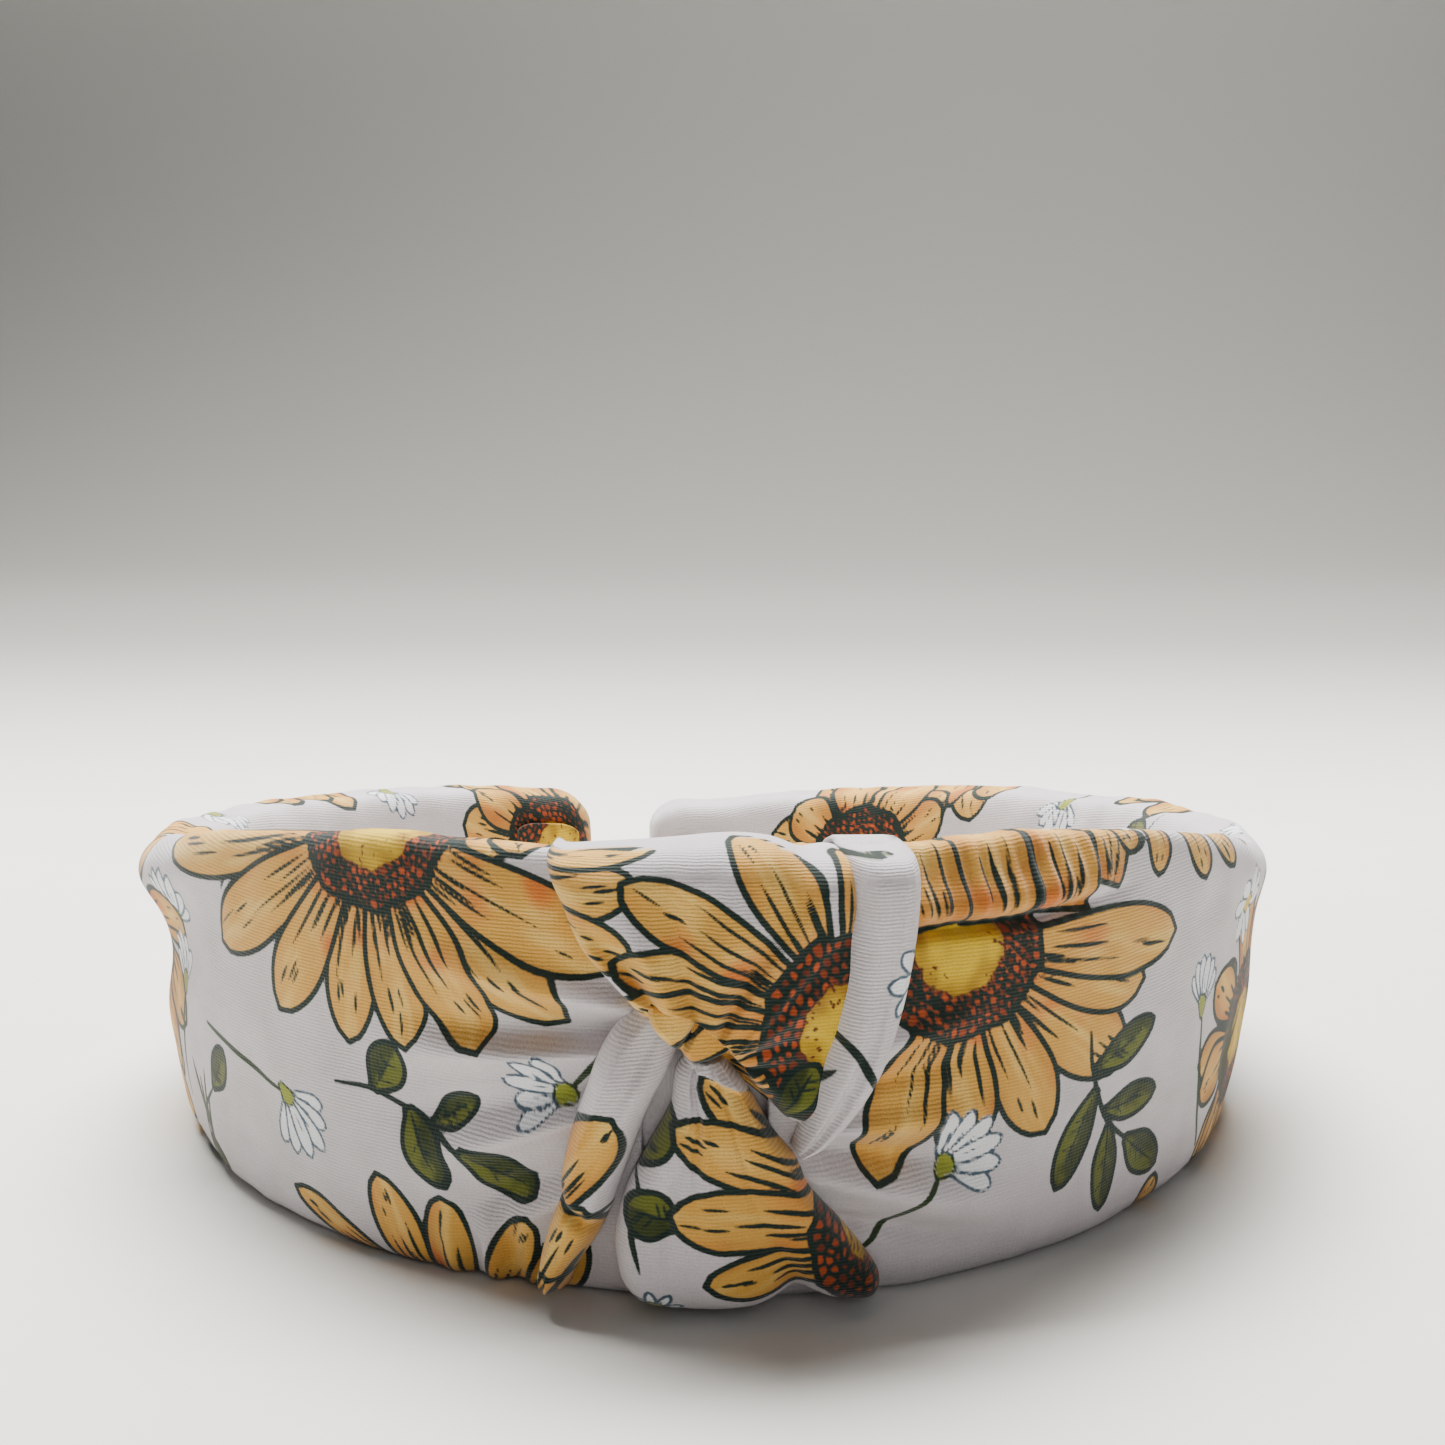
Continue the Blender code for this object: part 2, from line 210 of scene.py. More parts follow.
def spline(points, count):
    """A curve through points, evenly spaced along its length: Catmull-Rom between each pair."""
    points = np.array(points, float)
    padded = np.vstack([2 * points[0] - points[1], points, 2 * points[-1] - points[-2]])
    t = np.linspace(0, 1, 24, endpoint=False)[:, None]
    runs = []
    for a, b, c, d in zip(padded, padded[1:], padded[2:], padded[3:]):
        runs.append(0.5 * (2 * b + (c - a) * t + (2 * a - 5 * b + 4 * c - d) * t ** 2
                           + (3 * b - a - 3 * c + d) * t ** 3))
    dense = np.vstack(runs + [points[-1:]])
    length = np.concatenate([[0], np.cumsum(np.linalg.norm(np.diff(dense, axis=0), axis=1))])
    wanted = np.linspace(0, length[-1], count)
    return np.stack([np.interp(wanted, length, dense[:, i]) for i in range(2)], axis=1)


def ripple(x, y, scale, seed, waves=9):
    """Smooth unevenness between about -1 and 1: a sum of sine waves of one scale in random directions."""
    dice = np.random.default_rng(seed)
    total = np.zeros(np.broadcast(x, y).shape)
    for _ in range(waves):
        turn, shift = dice.uniform(0, 2 * np.pi, 2)
        pitch = scale * dice.uniform(0.7, 1.5)
        total += np.sin((x * np.cos(turn) + y * np.sin(turn)) * 2 * np.pi / pitch + shift)
    return total / np.sqrt(waves) / 1.4


def fold(x, y, start, end, width, height):
    """A ridge from start to end. It is a bell across, widening from start, and dies away towards end."""
    start, end = np.array(start, float), np.array(end, float)
    way = end - start
    length = np.linalg.norm(way)
    way = way / length
    t = ((x - start[0]) * way[0] + (y - start[1]) * way[1]) / length
    across = (x - start[0]) * -way[1] + (y - start[1]) * way[0]
    spread = width * (0.55 + 0.75 * np.clip(t, 0, 1.3))
    fade = smooth((t + 0.12) / 0.18) * (1 - smooth((t - 0.35) / 0.75))
    return height * fade * np.exp(-((across / spread) ** 2))


def beside(x, y, line):
    """Signed distance to the right of a line of points, past its straight runs taken one after another."""
    line = np.array(line, float)
    best = np.full(np.broadcast(x, y).shape, 1e9)
    sign = np.zeros(best.shape)
    for (x0, y0), (x1, y1) in zip(line, line[1:]):
        length = np.hypot(x1 - x0, y1 - y0)
        t = np.clip(((x - x0) * (x1 - x0) + (y - y0) * (y1 - y0)) / length ** 2, 0, 1)
        distance = np.hypot(x - x0 - t * (x1 - x0), y - y0 - t * (y1 - y0))
        turn = (x - x0) * (y1 - y0) - (y - y0) * (x1 - x0)
        nearer = distance < best
        best = np.where(nearer, distance, best)
        sign = np.where(nearer, np.sign(turn), sign)
    return best * sign


def signed_volume(points, faces):
    a, b, c, d = (points[faces[:, i]] for i in range(4))
    first = np.einsum("ij,ij->i", a, np.cross(b, c)).sum()
    return first + np.einsum("ij,ij->i", a, np.cross(c, d)).sum()


def tube_mesh(name, points, fabric=None, attributes=None):
    """A closed mesh from a grid of rings (rings, around, 3): quads round it, and one face on each end."""
    rings, around = points.shape[:2]
    index = np.arange(rings * around).reshape(rings, around)
    turned = np.roll(index, -1, axis=1)
    quads = np.stack([index[:-1], turned[:-1], turned[1:], index[1:]], axis=-1).reshape(-1, 4)
    flat = points.reshape(-1, 3)
    first, last = index[0][::-1], index[-1]
    if signed_volume(flat, quads) < 0:
        quads = quads[:, ::-1]
        first, last = first[::-1], last[::-1]
    mesh = bpy.data.meshes.new(name)
    mesh.from_pydata(flat.tolist(), [], quads.tolist() + [first.tolist(), last.tolist()])
    mesh.shade_smooth()
    if fabric is not None:
        corner = np.zeros(len(mesh.loops), int)
        mesh.loops.foreach_get("vertex_index", corner)
        layer = mesh.uv_layers.new(name="fabric")
        uv = np.stack([fabric[0].ravel(), fabric[1].ravel()], axis=1) * MM
        layer.data.foreach_set("uv", uv[corner].ravel())
    for key, value in (attributes or {}).items():
        if value.ndim == 1:
            mesh.attributes.new(key, "FLOAT", "POINT").data.foreach_set("value", value)
        else:
            rgba = np.concatenate([value, np.ones((len(value), 1))], axis=1)
            mesh.attributes.new(key, "FLOAT_COLOR", "POINT").data.foreach_set("color", rgba.ravel())
    obj = bpy.data.objects.new(name, mesh)
    bpy.context.scene.collection.objects.link(obj)
    return obj


# ---------------------------------------------------------------- the print

class Print:
    """The print on one piece. At each point it keeps a fill colour, the colour of the nearest line, and
    the distance to that line's edge, negative on the line, which the material cuts off sharply."""

    def __init__(self, x, y):
        self.x, self.y = np.array(x).ravel(), np.array(y).ravel()
        self.fill = np.tile(WHITE, (self.x.size, 1))
        self.line = np.tile(INK, (self.x.size, 1))
        self.ink = np.full(self.x.size, 4.0)

    def near(self, path, margin):
        low, high = path.min(0) - margin, path.max(0) + margin
        inside = (self.x > low[0]) & (self.x < high[0]) & (self.y > low[1]) & (self.y < high[1])
        return np.nonzero(inside)[0]

    def to_path(self, chosen, path):
        """Distance from each chosen point to each straight run of path, and how far along it."""
        start, way = path[:-1], np.diff(path, axis=0)
        offset_x = self.x[chosen, None] - start[:, 0]
        offset_y = self.y[chosen, None] - start[:, 1]
        squared = np.maximum((way ** 2).sum(1), 1e-9)
        t = np.clip((offset_x * way[:, 0] + offset_y * way[:, 1]) / squared, 0, 1)
        return np.hypot(offset_x - t * way[:, 0], offset_y - t * way[:, 1]), t

    def shape(self, outline, fill, weight=0.75, line=INK):
        """A closed outline filled over whatever is under it. fill is a colour or a function of x and y."""
        path = np.vstack([outline, outline[:1]])
        chosen = self.near(path, 2.0)
        if chosen.size == 0:
            return
        distance = self.to_path(chosen, path)[0].min(1)
        x, y = self.x[chosen, None], self.y[chosen, None]
        (x0, y0), (x1, y1) = path[:-1].T, path[1:].T
        rise = np.where(np.abs(y1 - y0) < 1e-9, 1e-9, y1 - y0)
        crossed = ((y0 > y) != (y1 > y)) & (x < (x1 - x0) * (y - y0) / rise + x0)
        inside = crossed.sum(1) % 2 == 1
        edge = distance - weight / 2
        nearer = inside | (edge < self.ink[chosen])
        self.ink[chosen[nearer]] = edge[nearer]
        self.line[chosen[nearer]] = line
        filled = chosen[inside]
        self.fill[filled] = fill(self.x[filled], self.y[filled]) if callable(fill) else fill

    def stroke(self, points, weight=0.55, line=INK, taper=0.75):
        """An open line that thins towards both ends."""
        path = spline(points, 3 + 4 * len(points)) if len(points) > 2 else np.array(points, float)
        if len(points) == 2:
            path = path[0] + (path[1] - path[0]) * np.linspace(0, 1, 5)[:, None]
        chosen = self.near(path, 1.6)
        if chosen.size == 0:
            return
        distance, t = self.to_path(chosen, path)
        runs = len(path) - 1
        place = (np.arange(runs) + t) / runs
        half = weight / 2 * (1 - taper * np.abs(2 * place - 1) ** 2.5)
        edge = (distance - half).min(1)
        nearer = edge < self.ink[chosen]
        self.ink[chosen[nearer]] = edge[nearer]
        self.line[chosen[nearer]] = line

    def attributes(self):
        return {"fill": self.fill, "line": self.line, "ink": self.ink}


def petal_fill(base, turn, length, seed):
    """Gold in long uneven streaks, pale along the middle, orange up one side, brown at base and edges."""
    def colour(x, y):
        u = ((x - base[0]) * np.cos(turn) + (y - base[1]) * np.sin(turn)) / length
        v = (-(x - base[0]) * np.sin(turn) + (y - base[1]) * np.cos(turn)) / (0.16 * length)
        cloud = ripple(x, y, 7.0, seed)
        streak = ripple(u * length * 0.16, v * 0.16 * length, 1.5, seed + 1)
        warm = smooth(0.72 - 1.5 * u + 0.4 * cloud) * 0.7 + smooth(0.5 * cloud + 0.5 * v - 0.2) * 0.55
        pale = smooth(0.65 - np.abs(v) + 0.4 * cloud + 0.45 * streak) * 0.85
        dark = smooth(0.36 - u + 0.1 * streak) * 0.6 + smooth(np.abs(v) - 0.75 + 0.25 * streak) * 0.4
        shade = GOLD + (PALE_GOLD - GOLD) * pale[:, None]
        shade = shade + (ORANGE - shade) * np.clip(warm, 0, 1)[:, None]
        return shade + (PETAL_BROWN - shade) * np.clip(dark, 0, 0.8)[:, None]
    return colour


def leaf_outline(base, turn, length, width, bend=0.0, blunt=0.62, foot=0.15):
    """A petal or leaf: foot wide at its base, full at blunt of its length, then a rounded point."""
    t = np.linspace(0, 1, 17)
    rise = foot + (1 - foot) * np.sin(np.pi / 2 * np.clip(t / blunt, 0, 1)) ** 1.2
    tip = np.clip(1 - ((t - blunt) / (1 - blunt)) ** 2, 0, 1) ** 0.62
    half = width / 2 * rise * np.where(t > blunt, tip, 1.0)
    middle = bend * length * t ** 2
    along = np.concatenate([t, t[::-1][1:]]) * length
    across = np.concatenate([middle + half, (middle - half)[::-1][1:]])
    x = base[0] + along * np.cos(turn) - across * np.sin(turn)
    y = base[1] + along * np.sin(turn) + across * np.cos(turn)
    return np.stack([x, y], axis=1)


def local_path(base, turn, pairs):
    """Points given along and across a direction."""
    pairs = np.array(pairs, float)
    x = base[0] + pairs[:, 0] * np.cos(turn) - pairs[:, 1] * np.sin(turn)
    y = base[1] + pairs[:, 0] * np.sin(turn) + pairs[:, 1] * np.cos(turn)
    return np.stack([x, y], axis=1)


def petal(cloth, base, turn, length, width, bend=0.0, seed=0, foot=0.5):
    """One sunflower petal: its fill and outline, long strokes from its base and dashes near its tip."""
    dice = np.random.default_rng(seed)
    cloth.shape(leaf_outline(base, turn, length, width, bend, 0.6, foot),
                petal_fill(base, turn, length, seed), 0.72)
    for side in (-0.24, 0.02, 0.26):
        first, last = dice.uniform(0.04, 0.14), dice.uniform(0.38, 0.66)
        offset = (side + dice.uniform(-0.05, 0.05)) * width
        steps = np.linspace(first, last, 4)
        cloth.stroke(local_path(base, turn, [(s * length, offset * (0.6 + 0.7 * s) + bend * length * s * s)
                                             for s in steps]), dice.uniform(0.38, 0.6))
    for _ in range(4):
        start, side = dice.uniform(0.02, 0.08), dice.uniform(-0.4, 0.4) * width * 0.7
        reach = dice.uniform(0.12, 0.3)
        cloth.stroke(local_path(base, turn, [(start * length, side * 0.8), ((start + reach) * length, side)]),
                     dice.uniform(0.32, 0.5))
    for _ in range(3):
        s, side = dice.uniform(0.58, 0.78), dice.uniform(-0.26, 0.26) * width
        reach = dice.uniform(0.09, 0.2) * length
        at = s * length, side * (1.5 - s) + bend * length * s * s
        cloth.stroke(local_path(base, turn, [at, (at[0] + reach, at[1] + bend * reach)]),
                     dice.uniform(0.34, 0.5))


def disc_fill(centre, radius, seed):
    def colour(x, y):
        distance = np.hypot(x - centre[0], y - centre[1]) / radius
        dark = smooth(distance * 1.1 - 0.35 + 0.25 * ripple(x, y, 3.0, seed))
        return DISC_YELLOW + (DISC_OCHRE - DISC_YELLOW) * dark[:, None]
    return colour


def seed_ring(cloth, centre, inner, outer, seed, squash=1.0):
    """The sunflower's ring of seed heads: uneven cells with dark walls round a stippled disc."""
    dice = np.random.default_rng(seed)
    turn = np.linspace(0, 2 * np.pi, 40, endpoint=False)
    wobble = 1 + 0.035 * np.sin(turn * 9 + seed) + 0.02 * np.sin(turn * 17)
    circle = np.stack([np.cos(turn), squash * np.sin(turn)], axis=1) * wobble[:, None]
    outline = centre + outer * circle
    cloth.shape(outline, RING_BROWN, 0.7)
    chosen = cloth.near(outline, 0.0)
    if chosen.size == 0:
        return
    x, y = cloth.x[chosen] - centre[0], (cloth.y[chosen] - centre[1]) / squash
    reach = np.hypot(x, y)
    ring = (reach < outer * 1.02) & (reach > inner * 0.9)
    chosen, x, y = chosen[ring], x[ring], y[ring]
    if chosen.size:
        rows = np.arange(inner + 0.4, outer, 0.92)
        heads = []
        for row in rows:
            count = int(2 * np.pi * row / 1.05)
            around = np.arange(count) / count * 2 * np.pi + dice.uniform(0, 1)
            shift = dice.uniform(-0.32, 0.32, (2, count))
            heads.append(np.stack([row * np.cos(around) + shift[0], row * np.sin(around) + shift[1]], 1))
        heads = np.vstack(heads)
        hue = dice.uniform(0, 1, len(heads))
        distance = np.hypot(x[:, None] - heads[:, 0], y[:, None] - heads[:, 1])
        nearest = np.argsort(distance, axis=1)[:, :2]
        pair = np.take_along_axis(distance, nearest, 1)
        cloth.fill[chosen] = RING_BROWN + (RING_ORANGE - RING_BROWN) * hue[nearest[:, 0], None]
        wall = (pair[:, 1] - pair[:, 0]) / 2 - 0.15 - 0.12 * dice.uniform(0, 1, len(heads))[nearest[:, 0]]
        cloth.ink[chosen] = np.minimum(cloth.ink[chosen], wall)
    cloth.shape(centre + inner * circle, disc_fill(centre, inner, seed), 0.3, RING_BROWN)
    for _ in range(46):
        around, out = dice.uniform(0, 2 * np.pi), inner * dice.uniform(0.55, 1.0)
        spot = centre + out * np.array([np.cos(around), squash * np.sin(around)])
        way = 0.45 * np.array([np.cos(around), squash * np.sin(around)])
        cloth.stroke([spot, spot + way], 0.3, RING_BROWN)


def sunflower(cloth, centre, petals, inner=5.8, outer=10.4, seed=1):
    """petals are (turn in degrees, reach from the centre, width, bend), the hindmost first."""
    centre = np.array(centre, float)
    for number, (turn, reach, width, bend) in enumerate(petals):
        turn = np.radians(turn)
        base = centre + (outer - 2.0) * np.array([np.cos(turn), np.sin(turn)])
        petal(cloth, base, turn, reach - outer + 2.0, width, bend, seed * 40 + number)
    seed_ring(cloth, centre, inner, outer, seed)


def whole_sunflower(cloth, centre, radius, seed, inner=5.6, outer=10.0):
    """A sunflower with its petals set by chance: a back row, then a front row between them."""
    dice = np.random.default_rng(seed)
    petals = []
    for row, count in ((1.0, 9), (0.93, 9)):
        start = dice.uniform(0, 40) + (20 if row < 1 else 0)
        for number in range(count):
            petals.append((start + number * 360 / count + dice.uniform(-6, 6),
                           radius * row * dice.uniform(0.9, 1.06), dice.uniform(7.5, 9.5),
                           dice.uniform(-0.1, 0.1)))
    sunflower(cloth, centre, petals, inner, outer, seed)


def daisy(cloth, base, turn, length, stem, count=6, spread=105.0, seed=5):
    """A daisy seen from the side: a stem, a fan of white petals and a green cup. turn is in degrees."""
    dice = np.random.default_rng(seed)
    base = np.array(base, float)
    cloth.stroke(stem, 0.8, STEM, 0.4)
    order = np.argsort(-np.abs(np.linspace(-1, 1, count)))
    for place in np.linspace(-1, 1, count)[order]:
        way = np.radians(turn + place * spread / 2)
        reach = length * (1 - 0.16 * place ** 2) * dice.uniform(0.92, 1.05)
        cloth.shape(leaf_outline(base, way, reach, length * 0.30, 0.03 * place, 0.66, 0.35),
                    PETAL_WHITE, 0.38, SLATE)
        middle = local_path(base, way, [(reach * 0.3, 0.0), (reach * 0.62, 0.12)])
        cloth.stroke(middle, 0.26, SLATE)
    way = np.radians(turn)
    cup = local_path(base, way, [(-1.6, -0.35), (0.3, -1.25), (1.2, -0.9), (1.5, 0.0), (1.2, 0.9),
                                 (0.3, 1.25), (-1.6, 0.35)])
    cloth.shape(cup, CALYX, 0.35, STEM)


def open_daisy(cloth, centre, radius, seed):
    """A daisy seen from the front: a ring of narrow white petals round a small yellow eye."""
    dice = np.random.default_rng(seed)
    centre = np.array(centre, float)
    for number in range(8):
        way = np.radians(number * 45 + dice.uniform(-8, 8))
        cloth.shape(leaf_outline(centre, way, radius * dice.uniform(0.88, 1.05), radius * 0.42, 0, 0.7, 0.4),
                    PETAL_WHITE, 0.36, SLATE)
    turn = np.linspace(0, 2 * np.pi, 12, endpoint=False)
    eye = centre + radius * 0.24 * np.stack([np.cos(turn), np.sin(turn)], 1)
    cloth.shape(eye, DISC_YELLOW, 0.3, DARK_OLIVE)


def leaf_fill(base, turn, length, seed):
    def colour(x, y):
        v = -(x - base[0]) * np.sin(turn) + (y - base[1]) * np.cos(turn)
        dark = smooth(0.5 + v / (0.16 * length) + 0.5 * ripple(x, y, 2.6, seed))
        return OLIVE + (DARK_OLIVE - OLIVE) * dark[:, None]
    return colour


def leaf(cloth, base, tip, width, bend=0.0, seed=3):
    """A leaf from base to tip, with a midrib and hatching."""
    base, tip = np.array(base, float), np.array(tip, float)
    way = tip - base
    length, turn = np.hypot(*way), np.arctan2(way[1], way[0])
    dice = np.random.default_rng(seed)
    cloth.shape(leaf_outline(base, turn, length, width, bend, 0.5, 0.2),
                leaf_fill(base, turn, length, seed), 0.7)
    ribs = [(s * length, bend * length * s * s) for s in (0.02, 0.3, 0.6, 0.86)]
    cloth.stroke(local_path(base, turn, ribs), 0.42)
    for _ in range(5):
        s, side = dice.uniform(0.2, 0.7), dice.choice([-1, 1])
        start = s * length, bend * length * s * s
        cloth.stroke(local_path(base, turn, [start, (start[0] + 0.14 * length, side * width * 0.3)]), 0.3)


def sprig(cloth, stem, leaves, seed=11):
    """A stem with leaves, each (base, tip, width)."""
    cloth.stroke(stem, 0.8, INK, 0.5)
    for number, (base, tip, width) in enumerate(leaves):
        leaf(cloth, base, tip, width, 0.04, seed + number)


def grass(cloth, base, height, lean, seed=2):
    dice = np.random.default_rng(seed)
    for number in range(4):
        way = lean + (number - 1.5) * 0.16
        tip = height * dice.uniform(0.65, 1.0)
        path = [(base[0] + way * tip * t * t + number * 0.5, base[1] + tip * t) for t in (0, 0.35, 0.7, 1.0)]
        cloth.stroke(path, 0.95, DARK_OLIVE, 0.9)


def scatter(cloth, low, high, across, seed):
    """The rest of the pattern, where nothing is placed by hand: a loose grid of sunflowers with sprigs,
    daisies and grass between them."""
    dice = np.random.default_rng(seed)
    step = PATTERN_PITCH
    for column in np.arange(low, high, step):
        for row in np.arange(across[0], across[1], step):
            shift = 0.5 * step * (int(row / step) % 2)
            x, y = column + shift + dice.uniform(-3, 3), row + dice.uniform(-3, 3)
            stem = [(x + 21, y - 24), (x + 25, y - 17), (x + 27, y - 9), (x + 33, y - 3)]
            sprig(cloth, stem, [((x + 25, y - 17), (x + 18, y - 14), 4.2), ((x + 26, y - 12), (x + 33,
                    y - 14), 4.0),
                                ((x + 33, y - 3), (x + 38, y + 3), 4.4), ((x + 23, y - 20), (x + 29,
                                        y - 22), 4.0)],
                  int(seed + column + row) % 997)
            daisy(cloth, (x + 24, y + 17), 75, 6.5,
                  [(x + 19, y + 3), (x + 21, y + 9), (x + 24, y + 16)], seed=int(column * 3 + row) % 991)
            grass(cloth, (x - 8, y + 26), 11, 0.15, int(column + row) % 983)
            whole_sunflower(cloth, (x, y), FLOWER_REACH, int(abs(column * 7 + row * 13)) % 977)


# ---------------------------------------------------------------- materials

class Socket:
    """One output of a node, for writing shader maths as Python expressions."""

    def __init__(self, shader, socket):
        self.shader, self.socket = shader, socket

    def _math(self, operation, *values):
        return self.shader.node("ShaderNodeMath", {"operation": operation}, dict(enumerate(values)))

    def __add__(self, other):
        return self._math("ADD", self, other)

    def __sub__(self, other):
        return self._math("SUBTRACT", self, other)

    def __rsub__(self, other):
        return self._math("SUBTRACT", other, self)

    def __mul__(self, other):
        return self._math("MULTIPLY", self, other)

    def __truediv__(self, other):
        return self._math("DIVIDE", self, other)

    def sin(self):
        return self._math("SINE", self)

    __radd__ = __add__
    __rmul__ = __mul__


class Shader:
    """A node material with one Principled BSDF."""

    def __init__(self, name, roughness=0.8, **constants):
        self.material = bpy.data.materials.new(name)
        self.material.use_nodes = True
        self.tree = self.material.node_tree
        self.surface = self.tree.nodes["Principled BSDF"]
        self.surface.inputs["Roughness"].default_value = roughness
        for key, value in constants.items():
            self.surface.inputs[key.replace("_", " ")].default_value = value

    def node(self, kind, settings=None, inputs=None, output=0):
        made = self.tree.nodes.new(kind)
        for key, value in (settings or {}).items():
            if key == "stops":
                ramp = made.color_ramp
                ramp.elements[0].position, ramp.elements[0].color = value[0]
                ramp.elements[1].position, ramp.elements[1].color = value[-1]
                for place, colour in value[1:-1]:
                    ramp.elements.new(place).color = colour
            else:
                setattr(made, key, value)
        for key, value in (inputs or {}).items():
            if isinstance(value, Socket):
                self.tree.links.new(value.socket, made.inputs[key])
            else:
                made.inputs[key].default_value = value
        return Socket(self, made.outputs[output])

    def mix(self, factor, first, second, blend="MIX"):
        return self.node("ShaderNodeMix", {"data_type": "RGBA", "blend_type": blend},
                         {0: factor, 6: first, 7: second}, 2)

    def feed(self, name, value):
        self.tree.links.new(value.socket, self.surface.inputs[name])

    def bump(self, height, distance, strength=1.0):
        self.feed("Normal", self.node("ShaderNodeBump", None,
                                      {"Height": height, "Distance": distance, "Strength": strength}))


def rgba(colour):
    return (*[float(c) for c in colour], 1.0)


def knit_relief(shader, place, rib=0.42):
    """Fine ribs of brushed knit: waves across the cloth, broken up by noise and covered in short nap."""
    split = shader.node("ShaderNodeSeparateXYZ", None, {0: place})
    up = Socket(shader, split.socket.node.outputs["Y"])
    side = Socket(shader, split.socket.node.outputs["X"])
    drift = shader.node("ShaderNodeTexNoise", None, {"Vector": place, "Scale": 900.0, "Detail": 2.0})
    ribs = (up * (2 * np.pi / (rib * MM)) + drift * 3.4).sin()
    wales = (side * (2 * np.pi / (0.62 * MM)) + drift * 5.0).sin()
    nap = shader.node("ShaderNodeTexNoise", None, {"Vector": place, "Scale": 5200.0, "Detail": 3.0})
    slubs = shader.node("ShaderNodeTexNoise", None, {"Vector": place, "Scale": 420.0, "Detail": 2.0})
    return ribs * 0.26 + wales * 0.07 + nap * 0.9 + slubs * 0.8


def printed_knit():
    """The printed cloth: fill and line colours from the print, cut at its line edges, and brushed nap."""
    shader = Shader("printed_brushed_knit", 0.82, Sheen_Weight=0.25, Sheen_Roughness=0.5,
                    Specular_IOR_Level=0.25)
    place = shader.node("ShaderNodeUVMap", {"uv_map": "fabric"})
    fill = shader.node("ShaderNodeAttribute", {"attribute_name": "fill"})
    line = shader.node("ShaderNodeAttribute", {"attribute_name": "line"})
    ink = shader.node("ShaderNodeAttribute", {"attribute_name": "ink"}, None, 2)
    bleed = shader.node("ShaderNodeTexNoise", None, {"Vector": place, "Scale": 2600.0, "Detail": 2.0})
    edge = ink + (bleed - 0.5) * 0.16
    cover = shader.node("ShaderNodeMapRange", {"interpolation_type": "SMOOTHSTEP"},
                        {0: edge, 1: -0.10, 2: 0.10})
    printed = shader.mix(cover, line, fill)
    cloud = shader.node("ShaderNodeTexNoise", None, {"Vector": place, "Scale": 160.0, "Detail": 4.0})
    tone = shader.node("ShaderNodeValToRGB",
                       {"stops": [(0.3, (0.90, 0.89, 0.89, 1)), (0.7, (1.0, 1.0, 1.0, 1))]}, {0: cloud})
    fibre = shader.node("ShaderNodeTexNoise", None, {"Vector": place, "Scale": 3800.0, "Detail": 2.0})
    speck = shader.node("ShaderNodeValToRGB",
                        {"stops": [(0.32, (0.86, 0.85, 0.85, 1)), (0.62, (1.0, 1.0, 1.0, 1))]}, {0: fibre})
    shaded = shader.mix(1.0, printed, tone, "MULTIPLY")
    shader.feed("Base Color", shader.mix(0.8, shaded, speck, "MULTIPLY"))
    shader.feed("Roughness", fibre * 0.16 + 0.74)
    shader.bump(knit_relief(shader, place), 0.00009, 0.85)
    return shader.material


def plain_object_shader(name, low, high, scale, roughness, depth):
    """A plain moulded, foamed or spun finish on Object coordinates: two tones and a fine relief."""
    shader = Shader(name, roughness)
    place = shader.node("ShaderNodeTexCoord", None, None, 3)
    noise = shader.node("ShaderNodeTexNoise", None, {"Vector": place, "Scale": scale, "Detail": 5.0})
    tone = shader.node("ShaderNodeValToRGB", {"stops": [(0.35, rgba(low)), (0.65, rgba(high))]}, {0: noise})
    shader.feed("Base Color", tone)
    cells = shader.node("ShaderNodeTexVoronoi", None, {"Vector": place, "Scale": scale * 2.2})
    shader.feed("Roughness", noise * 0.12 + (roughness - 0.06))
    shader.bump(cells * 0.7 + noise * 0.5, depth, 0.6)
    return shader.material


CLOTH = printed_knit()
CORE_PLASTIC = plain_object_shader("moulded_core", srgb(222, 221, 216), srgb(236, 235, 231), 260.0, 0.42,
                                   0.00004)
FOAM = plain_object_shader("padding_foam", srgb(214, 205, 176), srgb(236, 229, 206), 900.0, 0.92, 0.00025)
THREAD = plain_object_shader("spun_thread", srgb(226, 222, 218), srgb(242, 240, 236), 2400.0, 0.7, 0.00008)


def dress(obj, material, body, slot, *nodes):
    """Give a piece its material and its body, if it rides on one, and hide the CAD nodes that it stands for.
    """
    obj.data.materials.clear()
    obj.data.materials.append(material)
    if body:
        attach(obj, body)
    if nodes:
        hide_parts(*nodes)
    return obj


# ---------------------------------------------------------------- sleeves

def section(turn, power):
    """A flattened round: across and up are each a power of the cosine and the sine, between -1 and 1."""
    across = np.sign(np.cos(turn)) * np.abs(np.cos(turn)) ** (2 / power)
    up = np.sign(np.sin(turn)) * np.abs(np.sin(turn)) ** (2 / power)
    return across, up


def section_turns(outer_step, inner_step, power=3.4):
    """Angles round the section, close together on the outer face and wider apart on the inner face."""
    turn = np.linspace(-np.pi / 2, 1.5 * np.pi, 6001)
    across, up = section(turn, power)
    x, y = across * BAND_THICKNESS / 2, up * CROWN_HEIGHT / 2
    length = np.concatenate([[0], np.cumsum(np.hypot(np.diff(x), np.diff(y)))])
    half = length[-1] / 2
    outer = np.arange(0, half + 3.0, outer_step)
    inner = np.arange(outer[-1] + inner_step, length[-1], inner_step)
    return np.interp(np.concatenate([outer, inner]), length, turn)


